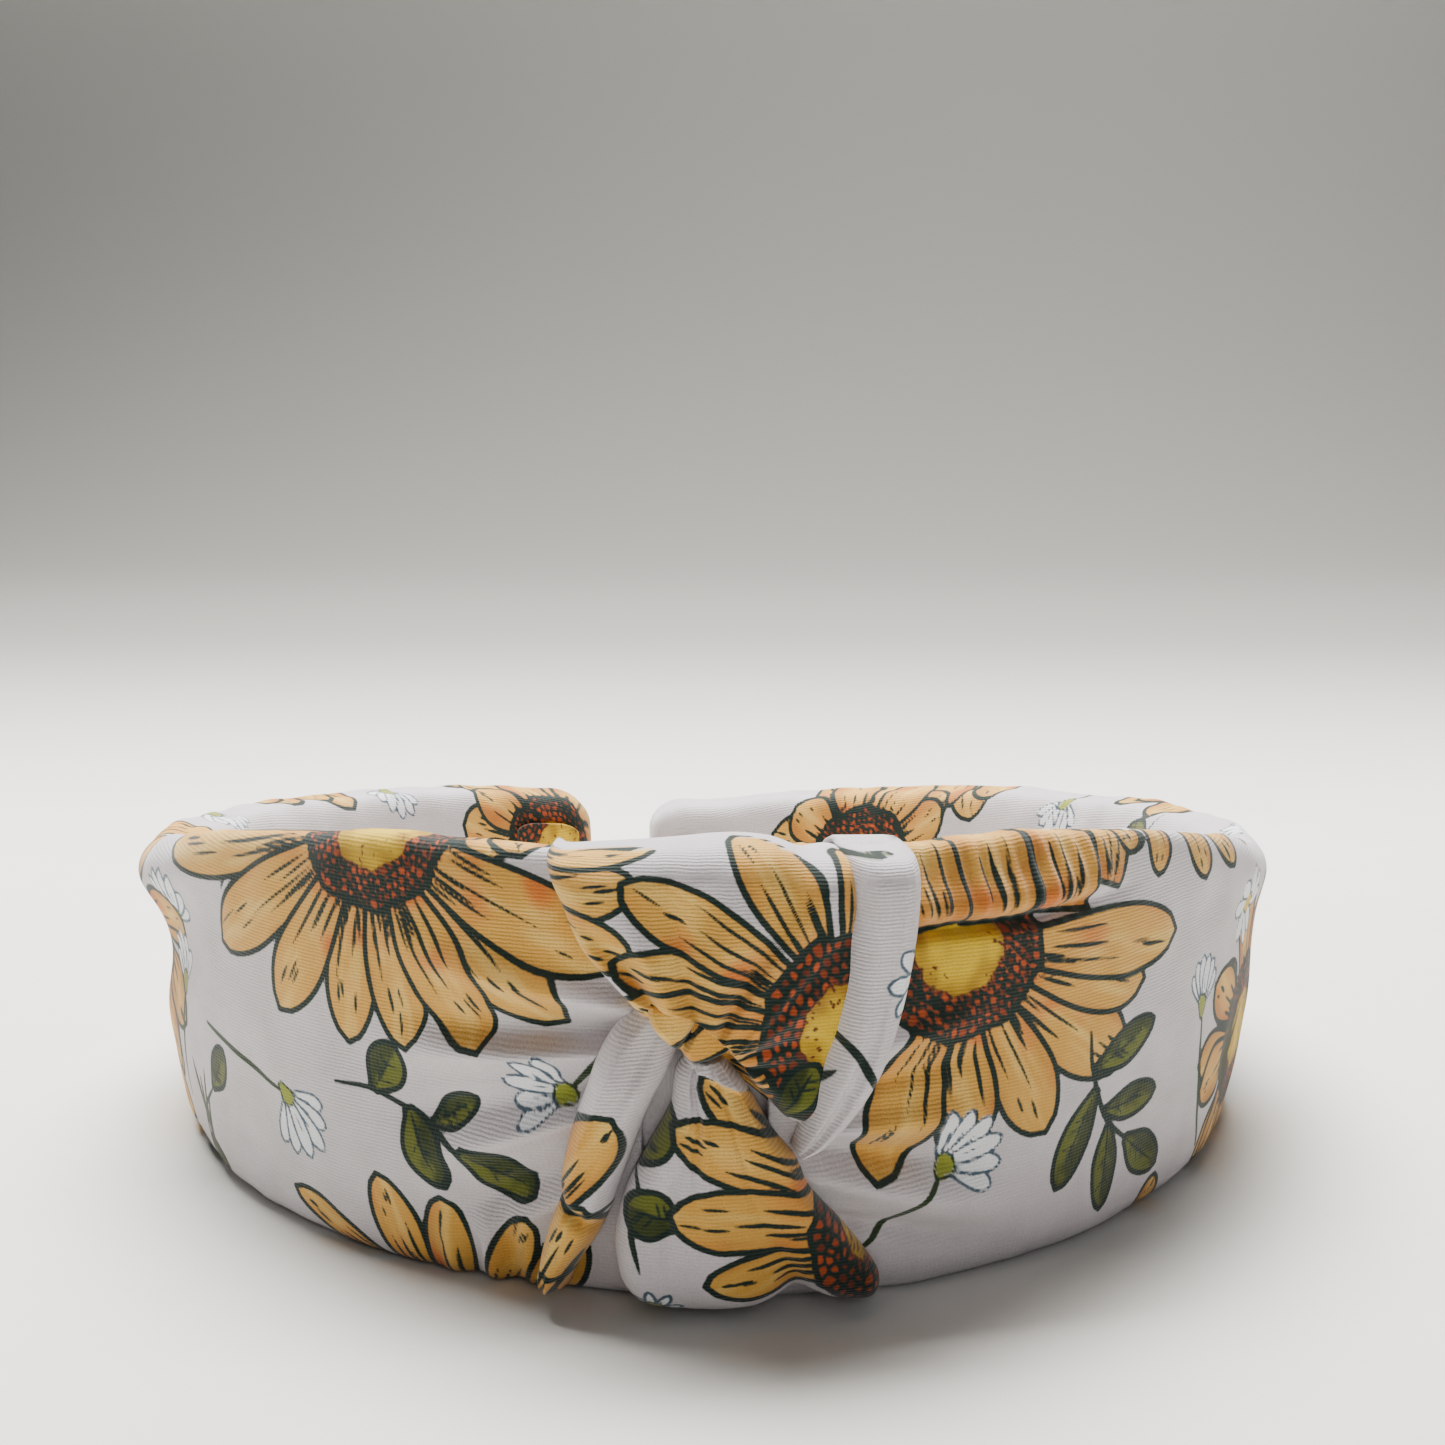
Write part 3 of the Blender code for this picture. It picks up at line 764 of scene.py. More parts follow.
def left_folds(x, y):
    """Folds of the left sleeve. They run out of the knot's left side, and gathers stand on the lower rim."""
    lift = fold(x, y, (-8, 35), (-38, 40), 2.2, 2.3)
    lift += fold(x, y, (-9, 32), (-37, 31.5), 1.5, -2.2)
    lift += fold(x, y, (-9, 30), (-40, 27), 1.8, 2.3)
    lift += fold(x, y, (-11, 26), (-40, 18.5), 1.4, -2.2)
    lift += fold(x, y, (-11, 23), (-38, 13), 2.0, 2.2)
    lift += fold(x, y, (-13, 17), (-35, 6.5), 1.5, -1.7)
    lift += fold(x, y, (-13, 14), (-30, 3.5), 1.7, 1.2)
    for place, width, height in ((-20.5, 1.05, 1.0), (-23.0, 1.0, -0.9), (-25.4, 1.1, 1.0), (-28.2, 1.1,
            -0.8),
                                 (-31.0, 1.2, 0.8), (-34.5, 1.3, -0.6)):
        bell = np.exp(-(((x - place) / width) ** 2))
        lift += 0.95 * height * bell * np.exp(-(((y - 2.5) / 6.5) ** 2))
    return lift


def right_folds(x, y):
    """Folds of the right sleeve: a tuck that runs level from the knot at four fifths of its height, with
    fine pleats above it, and folds that sweep up from the knot's lower corner."""
    tuck = 42.6 - 0.03 * (x - 24) + 0.002 * (x - 24) ** 2
    reach = smooth((58 - x) / 20)
    below = y - tuck
    lift = reach * (2.1 * np.exp(-((np.maximum(below,
                                               0) - 2.4) / 2.8) ** 2) - 1.9 * np.exp(-(below / 0.9) ** 2))
    pleats = np.sin((x - 24) * 2 * np.pi / 2.3 + 0.6 * np.sin(y * 0.5)) * 0.32
    lift += reach * pleats * np.exp(-(((y - tuck - 4.0) / 4.5) ** 2))
    lift += fold(x, y, (11, 16), (40, 7), 2.4, 2.2)
    lift += fold(x, y, (11, 19), (36, 14), 1.7, -2.1)
    lift += fold(x, y, (13, 21), (36, 21), 1.9, 1.8)
    lift += fold(x, y, (15, 10), (40, 3), 1.7, -1.5)
    lift += fold(x, y, (15, 25), (36, 28), 1.5, -1.2)
    lift += fold(x, y, (16, 29), (36, 34), 1.8, 1.2)
    return lift


def sleeve(name, side, end, folds, seed):
    """One arm's sleeve: the section carried along the hoop, puffed along its rims, folded near the knot,
    and drawn in to a rounded, closed tip."""
    stop = abs(along_of(end))
    fine = np.arange(SLEEVE_START, 84.0, 0.34)
    coarse = np.linspace(84.0, stop, 330)[1:]
    distance = np.concatenate([fine, coarse])[:, None]
    along = side * distance
    turn = section_turns(0.36, 0.62)[None, :]
    height = band_height(along)
    left = stop - distance
    tip = rounded(left + 0.15, 7.0)
    power = 3.4
    across, up = section(turn, power)
    thickness = BAND_THICKNESS * (0.35 + 0.65 * rounded(left + 0.1, 5.0))
    out = BAND_MIDDLE + thickness / 2 * across
    rise = height / 2 * (1 + up * (0.62 + 0.38 * tip))
    step = np.hypot(np.diff(out, axis=1), np.diff(rise, axis=1))
    length = np.concatenate([np.zeros((len(distance), 1)), np.cumsum(step, axis=1)], axis=1)
    middle = np.argmin(np.abs(turn[0]))
    cloth_y = length - length[:, middle:middle + 1] + height / 2
    cloth_x = along + 0 * cloth_y
    facing = smooth(across * 2.0)
    rim = np.exp(-(((rise - height) / 4.2) ** 2)) + 0.5 * np.exp(-((rise / 4.5) ** 2))
    swell = 0.55 * rim * facing
    roll = smooth((distance - 60) / 30) * (1 - smooth((distance - 108) / 40))
    swell += (2.4 if side < 0 else 1.2) * roll * facing * np.exp(-(((rise - height + 3.6) / 3.9) ** 2))
    swell -= (1.3 if side < 0 else 0.4) * roll * facing * np.exp(-(((rise - height + 14.0) / 6.0) ** 2))
    uneven = 0.32 * ripple(cloth_x, cloth_y, 26.0, seed) + 0.14 * ripple(cloth_x, cloth_y, 9.0, seed + 1)
    fade = rounded(left, 12.0)
    creased = folds(cloth_x, cloth_y) * smooth(across * 3 + 0.9)
    lift = swell + (np.where(creased < 0, VALLEY * np.tanh(creased / VALLEY), creased) + uneven) * fade
    normal_out = np.gradient(rise, axis=1)
    normal_up = -np.gradient(out, axis=1)
    size = np.maximum(np.hypot(normal_out, normal_up), 1e-9)
    out = out + lift * normal_out / size
    rise = np.maximum(rise + lift * normal_up / size * np.where(up > 0, 1.0, 0.3), 0.0)
    return cloth_x, cloth_y, world(along, out, rise), name


def finish_sleeve(data, draw, arm):
    cloth_x, cloth_y, points, name = data
    cloth = Print(cloth_x, cloth_y)
    draw(cloth)
    obj = tube_mesh(name, points, (cloth_x, cloth_y), cloth.attributes())
    dress(obj, CLOTH, None, "printed_knit", "sleeve_left" if arm == "left_arm" else "sleeve_right")
    sign = -1 if arm == "left_arm" else 1
    start, end = (world(np.array(sign * a), BAND_MIDDLE, 0.0) for a in (BEND_START, BEND_END))
    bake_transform(obj, "crown", arm, start=tuple(start), end=tuple(end))
    return obj


def draw_left(cloth):
    """The left sleeve's print: a sunflower on the upper rim, and daisies and a sprig under it."""
    scatter(cloth, -205, -100, (-30, 120), 21)
    sunflower(cloth, (-104, 29), [(200, 21, 8, 0), (250, 22, 8, 0), (300, 22, 8, 0), (150, 21, 8, 0),
                                  (100, 20, 8, 0), (50, 20, 8, 0), (10, 21, 8, 0), (225, 22, 8, 0.05),
                                  (275, 22, 8, 0), (330, 21, 8, 0)], 5.4, 9.6, 33)
    scatter(cloth, -98, -5, (66, 120), 22)
    whole_sunflower(cloth, (along_of(LEFT_END) + 7.0, 41.0), FLOWER_REACH, 31)
    sunflower(cloth, (-40.8, 53.8), [
        (60, 26, 9, 0), (95, 26, 9, 0), (130, 27, 9, 0), (30, 27, 9, 0), (160, 27, 9, 0),
        (197, 42, 8.0, -0.04), (217, 34, 9.0, -0.03), (263, 27.5, 7.0, 0.0), (241, 29.5, 8.0, -0.03),
        (318, 33, 8.5, 0.05), (282, 27.0, 7.5, 0.0), (301, 29.5, 8.5, 0.03), (334, 35, 9.5, 0.06)],
        6.2, 10.6, 2)
    daisy(cloth, (-55.4, 17.7), -52, 8.2, [(-75.4, 21.6), (-66, 20.2), (-56, 17.9)], 6, 100, 6)
    sprig(cloth, [(-46.5, 21.4), (-40, 21.5), (-33, 18.6), (-26.5, 15.8), (-19.5, 14.4)],
          [((-40.5, 21.6), (-36.6, 27.4), 5.6), ((-32.5, 18.8), (-26.5, 22.4), 3.6),
           ((-36.0, 20.0), (-31.0, 11.2), 5.4), ((-28.0, 16.6), (-19.6, 11.6), 5.0)], 15)
    daisy(cloth, (-15.8, 24.2), 168, 7.0, [(-10.5, 30.5), (-12.8, 27.5), (-15.4, 24.6)], 5, 95, 8)
    for base, turn, reach, width in (((-40.5, -1.5), 152, 17.0, 4.2), ((-35.4, -3), 108, 15.2, 6.4),
                                     ((-31.0, -4), 90, 14.0, 6.4), ((-26.5, -4), 62, 15.0, 5.2),
                                     ((-21.5, -4), 55, 14.0, 6.0)):
        petal(cloth, np.array(base), np.radians(turn), reach, width, 0.05, int(-base[0] * 7))
    leaf(cloth, (-36.0, 20.0), (-31.4, 11.4), 5.2, 0.05, 18)
    daisy(cloth, (-86, 24), 100, 7.0, [(-88, 8), (-87.5, 16), (-86, 23)], 5, 90, 9)
    grass(cloth, (-80, 3), 12, -0.1, 4)


def draw_right(cloth):
    """The right sleeve's print: a sunflower beside the knot, a sprig and daisies, petals on the rim."""
    scatter(cloth, 96, 235, (-30, 120), 51)
    scatter(cloth, 5, 92, (70, 120), 52)
    whole_sunflower(cloth, (along_of(np.radians(157.5)), 43.0), FLOWER_REACH, 35)
    petals = [(78, 21, 8, 0), (100, 20, 8, 0), (-38, 31, 10, 0.06), (-18, 30, 9.0, 0.03), (-62, 27, 8.6,
            -0.02),
              (-88, 25, 8.4, 0.0), (-110, 28, 8.6, -0.04), (-8, 36, 8.6, 0.03)]
    sunflower(cloth, (29.0, 40.4), petals, 5.6, 10.6, 4)
    for base, turn, reach, width, bend in (((26.2, 42.6), 97, 16, 9.0, 0.02), ((34.0, 42.6), 90, 17, 9.4,
            0.0),
                                           ((43.2, 42.6), 84, 17, 9.8, -0.02), ((50.2, 44.6), 72, 12, 6.0,
                                                   -0.1)):
        petal(cloth, np.array(base), np.radians(turn), reach, width, bend, int(base[0] * 3), 0.85)
    sprig(cloth, [(47.6, 27.5), (48.6, 22.5), (52.0, 15.5), (58.6, 10.4)],
          [((49.0, 22.4), (60.2, 25.8), 4.6), ((51.4, 16.6), (62.0, 16.4), 4.4),
           ((49.6, 19.8), (43.0, 9.0), 5.2), ((52.6, 14.6), (52.2, 3.6), 5.0),
           ((56.6, 11.8), (65.0, 5.6), 5.2)], 25)
    daisy(cloth, (27.8, 14.6), 32, 8.2, [(16.5, 5.6), (21.5, 9.2), (27.2, 14.2)], 6, 115, 12)
    daisy(cloth, (73.0, 24.4), 82, 6.6, [(77.4, 4.5), (74.6, 12.0), (73.0, 23.6)], 6, 80, 14)
    open_daisy(cloth, (88.0, 34.0), 5.4, 15)
    grass(cloth, (86.5, 8.0), 15, 0.16, 17)
    for base, turn, reach, width in (((62.5, 53.0), -105, 9.5, 4.6), ((69.0, 53.0), -82, 12.0, 5.0),
                                     ((74.5, 52.0), -70, 12.0, 4.6), ((57.0, 53.0), -115, 6.0, 4.4),
                                     ((64.0, -3.5), 75, 8.0, 5.0), ((80.0, -2.0), 50, 12.0, 4.0)):
        petal(cloth, np.array(base), np.radians(turn), reach, width, 0.04, int(base[0] * 5))


# ---------------------------------------------------------------- the knot

def spread_folds(width_share, seed, count, depth):
    """Pleats that run from the pinch outwards, as a function of the share across and along."""
    dice = np.random.default_rng(seed)
    places = np.sort(dice.uniform(0.06, 0.94, count))
    widths = dice.uniform(0.6, 1.4, count) * width_share
    heights = dice.uniform(0.5, 1.0, count) * depth * np.where(np.arange(count) % 2, -1, 1)
    bends = dice.uniform(-0.1, 0.1, count)

    def pleats(along, across):
        total = 0 * along * across
        for place, width, height, bend in zip(places, widths, heights, bends):
            total += height * np.exp(-(((across - place - bend * along) / width) ** 2))
        return total
    return pleats


def lobe_mesh(name, left, right, rim, base, loft, edge, pleats, rows, columns, rolled=4.2):
    """A lobe of the knot. Rays run between its left and right edges and out to its rim, if it has one;
    its face stands loft over base, falls in a quarter circle at its edges, and turns down at its far
    end into a hem. Its back is a plain strip that closes it."""
    first, last = spline(left, rows), spline(right, rows)
    share = np.linspace(0, 1, rows)[:, None]
    across = (1 - np.cos(np.linspace(0, np.pi, columns))) / 2 * 0.25 + np.linspace(0, 1, columns) * 0.75
    across = across[None, :]
    line = first[:, None] + (last - first)[:, None] * across[..., None]
    if rim is not None:
        target = spline(rim, columns)
        straight = first[-1] + (last[-1] - first[-1]) * across[0][:, None]
        line = line + (target - straight)[None] * share[..., None] ** 1.4
    width = np.linalg.norm(np.diff(line, axis=1), axis=2).sum(1)[:, None]
    to_edge = np.minimum(across, 1 - across) * width
    ray = np.linalg.norm(np.diff(line, axis=0), axis=2)
    to_end = np.concatenate([np.cumsum(ray[::-1], axis=0)[::-1], np.zeros((1, columns))], axis=0)
    height = loft(share, across) * (0.06 + 0.94 * rounded(to_edge, edge))
    height = height + pleats(share, across, line[..., 0], line[..., 1]) * rounded(to_edge, edge * 1.3)
    face = base(share, across) + height - rolled * (1 - rounded(to_end, rolled))
    turn_down = np.linspace(0, 1, 12)[1:, None]
    floor = np.full((1, columns), -1.0)
    hem_out = face[-1:] + (floor - face[-1:]) * turn_down
    outward = line[-1] - line[-4]
    outward = outward / np.linalg.norm(outward, axis=1)[:, None]
    reach = 0.5 * np.sin(np.pi * turn_down) - 2.2 * turn_down ** 2
    hem_line = line[-1][None] + outward[None] * reach[..., None]
    front = np.concatenate([line, hem_line], axis=0)
    out = np.concatenate([face, hem_out], axis=0)
    slope = np.hypot(ray, np.diff(face, axis=0)) - ray
    roll = np.concatenate([np.zeros((1, columns)), np.cumsum(slope * (to_end[1:] < rolled), axis=0)], axis=0)
    travelled = np.concatenate([roll, roll[-1:] + face[-1:] - hem_out], axis=0)
    back = np.linspace(1, 0, 9)[1:-1]
    back_line = front[:, -1:] + (front[:, :1] - front[:, -1:]) * (1 - back)[None, :, None]
    back_out = np.minimum(out[:, :1], out[:, -1:]) - 0.6 - 0 * back[None]
    along = np.concatenate([front[..., 0], back_line[..., 0]], axis=1)
    rise = np.concatenate([front[..., 1], back_line[..., 1]], axis=1)
    depth = np.concatenate([out, back_out], axis=1)
    moved = np.concatenate([travelled, np.zeros_like(back_out)], axis=1)
    ray_way = np.concatenate([outward, np.zeros((len(back), 2))], axis=0)
    cloth_x = along + moved * ray_way[:, 0]
    cloth_y = rise + moved * ray_way[:, 1]
    return cloth_x, cloth_y, world(along, depth, np.maximum(rise, 0.1)), name


def finish_lobe(data, draw, slot, node):
    cloth_x, cloth_y, points, name = data
    cloth = Print(cloth_x, cloth_y)
    draw(cloth)
    obj = tube_mesh(name, points, (cloth_x, cloth_y), cloth.attributes())
    dress(obj, CLOTH, "crown", slot, node)
    return obj


# The upper lobe's folded lip, under which the centre tuck comes out.
LIP = [(-7.0, 37.4), (-5.3, 36.4), (-2.7, 36.1), (0.0, 34.8), (1.7, 33.1), (2.8, 32.1), (3.6, 30.4)]


def upper_lobe():
    """The upper lobe fans out of the pinch over the crown's upper rim, and its right side turns under."""
    left = [(1.8, 31.4), (0.2, 31.0), (-1.6, 31.0), (-3.5, 31.4), (-5.1, 32.6), (-7.4, 35.3), (-9.9, 38.2),
            (-13.2, 42.4),
            (-15.4, 47.4), (-17.6, 52.2)]
    right = [(2.6, 31.6), (3.9, 29.8), (5.0, 27.2), (7.0, 24.6), (9.0, 22.4), (12.0, 21.4), (14.4, 20.6)]
    rim = [(-17.6, 52.2), (-12, 52.7), (-5, 53.3), (2, 53.9), (7, 53.6), (11, 52.2), (15.5, 51.6),
           (17.6, 42), (17.0, 32), (14.4, 20.6)]
    folds = spread_folds(0.035, 31, 9, 0.55)

    def base(share, across):
        return 7.2 + 1.4 * smooth(1 - share * 2.2)

    def loft(share, across):
        crowned = 1.5 * np.sin(np.pi * share) * np.sin(np.pi * np.clip(across * 1.2, 0, 1))
        return 5.2 - 0.9 * smooth((across - 0.62) / 0.3) + crowned - 0.8 * smooth(1 - share * 6)

    def pleats(share, across, x, y):
        deep = folds(share, across) * (1.5 - 1.1 * share)
        for start, end, wide, high in (((-4, 34), (-17, 48), 1.2, 1.0), ((-3, 34), (-14, 48), 0.9, -1.1),
                                       ((-2, 35), (-11, 52), 1.5, 0.9), ((-1, 36), (-4, 54), 1.2, -1.0),
                                       ((1, 35), (3, 54), 1.5, 0.8), ((2, 34), (9, 50), 1.2, -0.9),
                                       ((4, 32), (14, 40), 1.2, 0.7), ((4, 31), (13, 33), 0.9, -0.8)):
            deep = deep + fold(x, y, start, end, wide, high)
        beyond = smooth(beside(x, y, LIP) / 0.6) * smooth((x + 7.6) / 2.2)
        return deep + 0.25 * ripple(x, y, 9.0, 8) - 2.6 * beyond

    return lobe_mesh("knot_upper_lobe_cloth", left, right, rim, base, loft, 2.8, pleats, 190, 190)


def lower_lobe():
    """The lower lobe fans out of the pinch down to the crown's lower rim, and turns under it."""
    left = [(-1.8, 30.4), (-3.2, 28.0), (-3.8, 24.0), (-6.2, 19.4), (-8.6, 14.5), (-9.8, 9.5), (-9.4, 5.0),
            (-8.4, 2.0)]
    right = [(2.0, 29.6), (4.4, 26.6), (7.2, 21.6), (10.0, 17.8), (11.8, 14.0), (15.4, 9.6), (18.8, 5.0),
             (20.0, 2.0)]
    rim = [(-8.4, 2.0), (-5, 1.3), (0, 1.1), (5, 1.5), (8.6, 2.6), (11.0, 2.7), (14, 1.6), (17.5, 1.1),
           (20.0, 2.0)]
    folds = spread_folds(0.045, 12, 7, 0.6)

    def base(share, across):
        return 6.9 + 0 * share

    def loft(share, across):
        return 5.3 + 1.3 * np.sin(np.pi * share) * np.sin(np.pi * across) - 1.0 * smooth(1 - share * 3)

    def pleats(share, across, x, y):
        crease = -0.7 * np.exp(-(((across - 0.3 - 0.1 * share) / 0.03) ** 2))
        crease = crease * (1 - smooth((share - 0.2) / 0.5))
        hollow = -1.8 * np.exp(-(((across - 0.66) / 0.07) ** 2)) * smooth((share - 0.68) / 0.3)
        swell = 0.9 * np.exp(-(((across - 0.36) / 0.2) ** 2)) * smooth((share - 0.4) / 0.4)
        swell = swell + 1.1 * (1 - smooth(beside(x, y, [(-2.0, 30.4), (-0.4, 29.2), (5.2, 25.8)]) / 0.5))
        return folds(share, across) * (1.1 - 0.8 * share) + crease + hollow + swell + 0.2 * ripple(x, y,
                8.0, 4)

    return lobe_mesh("knot_lower_lobe_cloth", left, right, rim, base, loft, 2.4, pleats, 150, 150, rolled=3.4)


def right_strand():
    """The strand that loops from the upper rim down the right side and tucks behind the lower lobe."""
    left = [(9.4, 19.4), (10.2, 22.4), (11.4, 27.6), (12.8, 33.0), (13.4, 37.0), (14.0, 42.0), (14.5, 48.0),
            (14.6, 52.6)]
    right = [(10.6, 18.0), (13.2, 19.4), (16.2, 22.8), (18.9, 28.0), (20.8, 34.0), (22.0, 40.0), (22.7,
            46.5), (22.8, 52.2)]
    folds = spread_folds(0.06, 5, 3, 0.35)

    def base(share, across):
        return 6.6 + 1.2 * (1 - across) + 0 * share

    def loft(share, across):
        return 7.2 - 2.2 * smooth(1 - share * 2.6) + 0.6 * np.sin(np.pi * across)

    def pleats(share, across, x, y):
        ridge = 0.7 * np.exp(-(((across - 0.64) / 0.1) ** 2)) * (1 - smooth((share - 0.3) / 0.35))
        valley = -0.8 * np.exp(-(((across - 0.42) / 0.08) ** 2)) * (1 - smooth((share - 0.2) / 0.35))
        return folds(share, across) + ridge + valley + 0.16 * ripple(x, y, 10.0, 6)

    return lobe_mesh("knot_right_strand_cloth", left, right, None, base, loft, 2.9, pleats, 190, 90,
                     rolled=3.0)


def left_strand():
    """The strand that comes from under the upper lobe down the left side, with a twist near its foot."""
    left = [(-7.0, 35.5), (-9.6, 33.0), (-11.4, 30.0), (-12.8, 26.0), (-14.3, 21.5), (-15.4, 16.5), (-15.6,
            13.6),
            (-17.0, 9.6), (-18.0, 5.6), (-18.2, 2.4)]
    right = [(-2.0, 32.6), (-2.9, 30.6), (-3.9, 28.0), (-5.9, 24.0), (-7.5, 19.6), (-9.0, 15.4), (-9.8, 13.0),
             (-11.4, 9.2), (-13.6, 5.6), (-15.4, 2.0)]
    folds = spread_folds(0.07, 9, 3, 0.3)

    def base(share, across):
        return 6.6 + 0.8 * smooth(share * 2) * across

    def loft(share, across):
        waist = 1 - 0.22 * np.exp(-(((share - 0.66 - 0.05 * across) / 0.022) ** 2))
        return (6.2 - 2.9 * smooth(1 - share * 4) + 0.6 * np.sin(np.pi * across)) * waist

    def pleats(share, across, x, y):
        foot = 0.5 * np.sin(across * 19 + 3 * share) * smooth((share - 0.82) / 0.15)
        return folds(share, across) + foot + 0.15 * ripple(x, y, 9.0, 16)

    return lobe_mesh("knot_left_strand_cloth", left, right, None, base, loft, 2.5, pleats, 170, 90,
                     rolled=2.6)


def centre_tuck():
    """The small rolled fold that comes out under the upper lobe's lip, with a crease across its middle."""
    left = [(-5.8, 36.6), (-5.7, 34.8), (-4.9, 33.2), (-3.4, 31.6), (-2.5, 31.0), (-1.2, 29.7), (0.4, 30.0),
            (2.4, 31.2)]
    right = [(-5.0, 37.4), (-3.6, 37.1), (-2.0, 36.8), (-0.6, 36.0), (0.6, 35.1), (1.6, 34.2), (2.6, 33.3),
             (3.4, 32.3)]

    def base(share, across):
        return 8.4 + 0 * share * across

    def loft(share, across):
        return 4.7 + 0.5 * np.sin(2 * np.pi * share) - 0.9 * across

    def pleats(share, across, x, y):
        return -1.5 * np.exp(-(((share - 0.53) / 0.035) ** 2)) + 0.1 * ripple(x, y, 5.0, 2)

    return lobe_mesh("knot_centre_tuck_cloth", left, right, None, base, loft, 1.3, pleats, 110, 60,
                     rolled=1.2)


def draw_upper(cloth):
    """Petals of a sunflower that lies at the lobe's right side, with the tips of others on the left."""
    for base, turn, reach, width, bend in (((-22, 47.5), 8, 15.6, 6.6, 0.02), ((-24, 52.6), 4, 19, 4.0, 0.03),
                                           ((-21, 45.5), -12, 14.6, 6.2, -0.04)):
        petal(cloth, np.array(base), np.radians(turn), reach, width, bend, int(-base[0] * 9 + turn))
    sprig(cloth, [(7.6, 55.5), (9.4, 52.6), (10.4, 49.5)], [((8.4, 54.8), (11.0, 47.4), 3.6)], 60)
    centre = np.array((14.2, 33.0))
    for turn, reach, width, bend, foot in (
            (60, 20, 5.0, 0, 0.5), (84, 21, 4.6, 0.0, 0.5), (158, 24.5, 6.4, 0.10, 0.55), (172, 24.0, 6.2,
                    0.05, 0.6),
            (200, 15.5, 5.2, 0.04, 0.7), (212, 15.0, 4.4, 0.02, 0.7), (226, 13.5, 4.0, 0.0, 0.7),
            (113, 25.5, 7.6, -0.02, 0.42), (141, 27.5, 6.8, 0.08, 0.5), (185, 21.5, 6.6, -0.02, 0.75)):
        way = np.radians(turn)
        base = centre + 7.4 * np.array([np.cos(way), np.sin(way) * 1.25])
        petal(cloth, base, way, reach - 7.4, width, bend, int(turn), foot)
    seed_ring(cloth, centre, 4.6, 8.6, 3, 1.32)
    leaf(cloth, (7.6, 23.0), (11.6, 29.4), 4.0, 0.0, 61)


def draw_lower(cloth):
    """Petals fan to the right into a seed ring at the lower corner, with leaves on the left."""
    petal(cloth, np.array((8.6, 19.0)), np.radians(133), 13.0, 4.4, 0.0, 71, 0.7)
    leaf(cloth, (-7.6, 18.0), (-3.6, 24.4), 5.0, 0.0, 72)
    cloth.stroke([(-6.5, 6.0), (-7.4, 11.0), (-6.6, 15.0), (-7.8, 18.0)], 0.8, INK)
    leaf(cloth, (-2.4, 12.2), (-8.2, 13.6), 5.4, 0.0, 73)
    petal(cloth, np.array((12.0, 15.4)), np.radians(153), 17.0, 6.4, 0.02, 74, 0.8)
    petal(cloth, np.array((12.6, 7.4)), np.radians(196), 12.6, 5.2, -0.1, 76, 0.8)
    petal(cloth, np.array((12.4, 11.4)), np.radians(172), 16.0, 7.0, 0.03, 75, 0.85)
    cloth.shape(np.array([(-1.6, 30.4), (-0.4, 29.2), (5.4, 25.6), (5.4, 31.0)]), WHITE, 0.1, WHITE)
    daisy(cloth, (-5.2, 0.6), 60, 3.6, [(-7.6, -1.0), (-5.6, 0.2)], 5, 150, 77)
    seed_ring(cloth, np.array((17.4, 9.4)), 2.6, 6.6, 6, 1.3)


def draw_right_strand(cloth):
    cloth.stroke([(12.4, 34.0), (14.8, 31.4), (16.2, 28.6), (17.6, 26.0)], 0.95, INK, 0.4)
    cloth.stroke([(9.4, 25.2), (11.4, 27.6), (13.0, 29.4)], 0.7, INK)
    open_daisy(cloth, (22.6, 38.6), 5.0, 91)
    sprig(cloth, [(14.0, 52.5), (15.4, 54.0), (18.0, 56.0)], [((15.0, 54.6), (19.4, 55.8), 2.4)], 92)


def draw_left_strand(cloth):
    petal(cloth, np.array((-15.6, 14.4)), np.radians(56), 11.6, 6.4, 0.0, 81, 0.7)
    petal(cloth, np.array((-18.6, 1.0)), np.radians(66), 14.2, 8.6, -0.06, 82, 0.9)
    cloth.stroke([(-16.0, 13.9), (-13.0, 12.6), (-9.6, 12.9)], 0.8, INK, 0.3)
    cloth.stroke([(-17.6, 6.0), (-15.4, 4.8), (-13.0, 5.2)], 0.8, INK, 0.4)


def draw_tuck(cloth):
    roll = [(-6.0, 37.0), (-5.9, 34.8), (-5.0, 33.2), (-3.4, 31.4), (-2.9, 32.2), (0.4, 34.5), (-1.0, 37.4)]
    cloth.shape(spline(roll, 40), petal_fill((14, 34), np.pi, 22.0, 41), 0.8)
    roll = [(-3.1, 31.6), (-2.4, 30.6), (-1.1, 29.6), (0.6, 30.1), (2.9, 31.4), (3.4, 33.0), (0.6, 34.6),
            (-1.6, 33.0)]
    cloth.shape(spline(roll, 40), petal_fill((14, 34), np.pi, 22.0, 43), 0.75)
    cloth.stroke([(-1.3, 29.9), (0.6, 30.5), (2.5, 31.7)], 1.1, INK, 0.2)


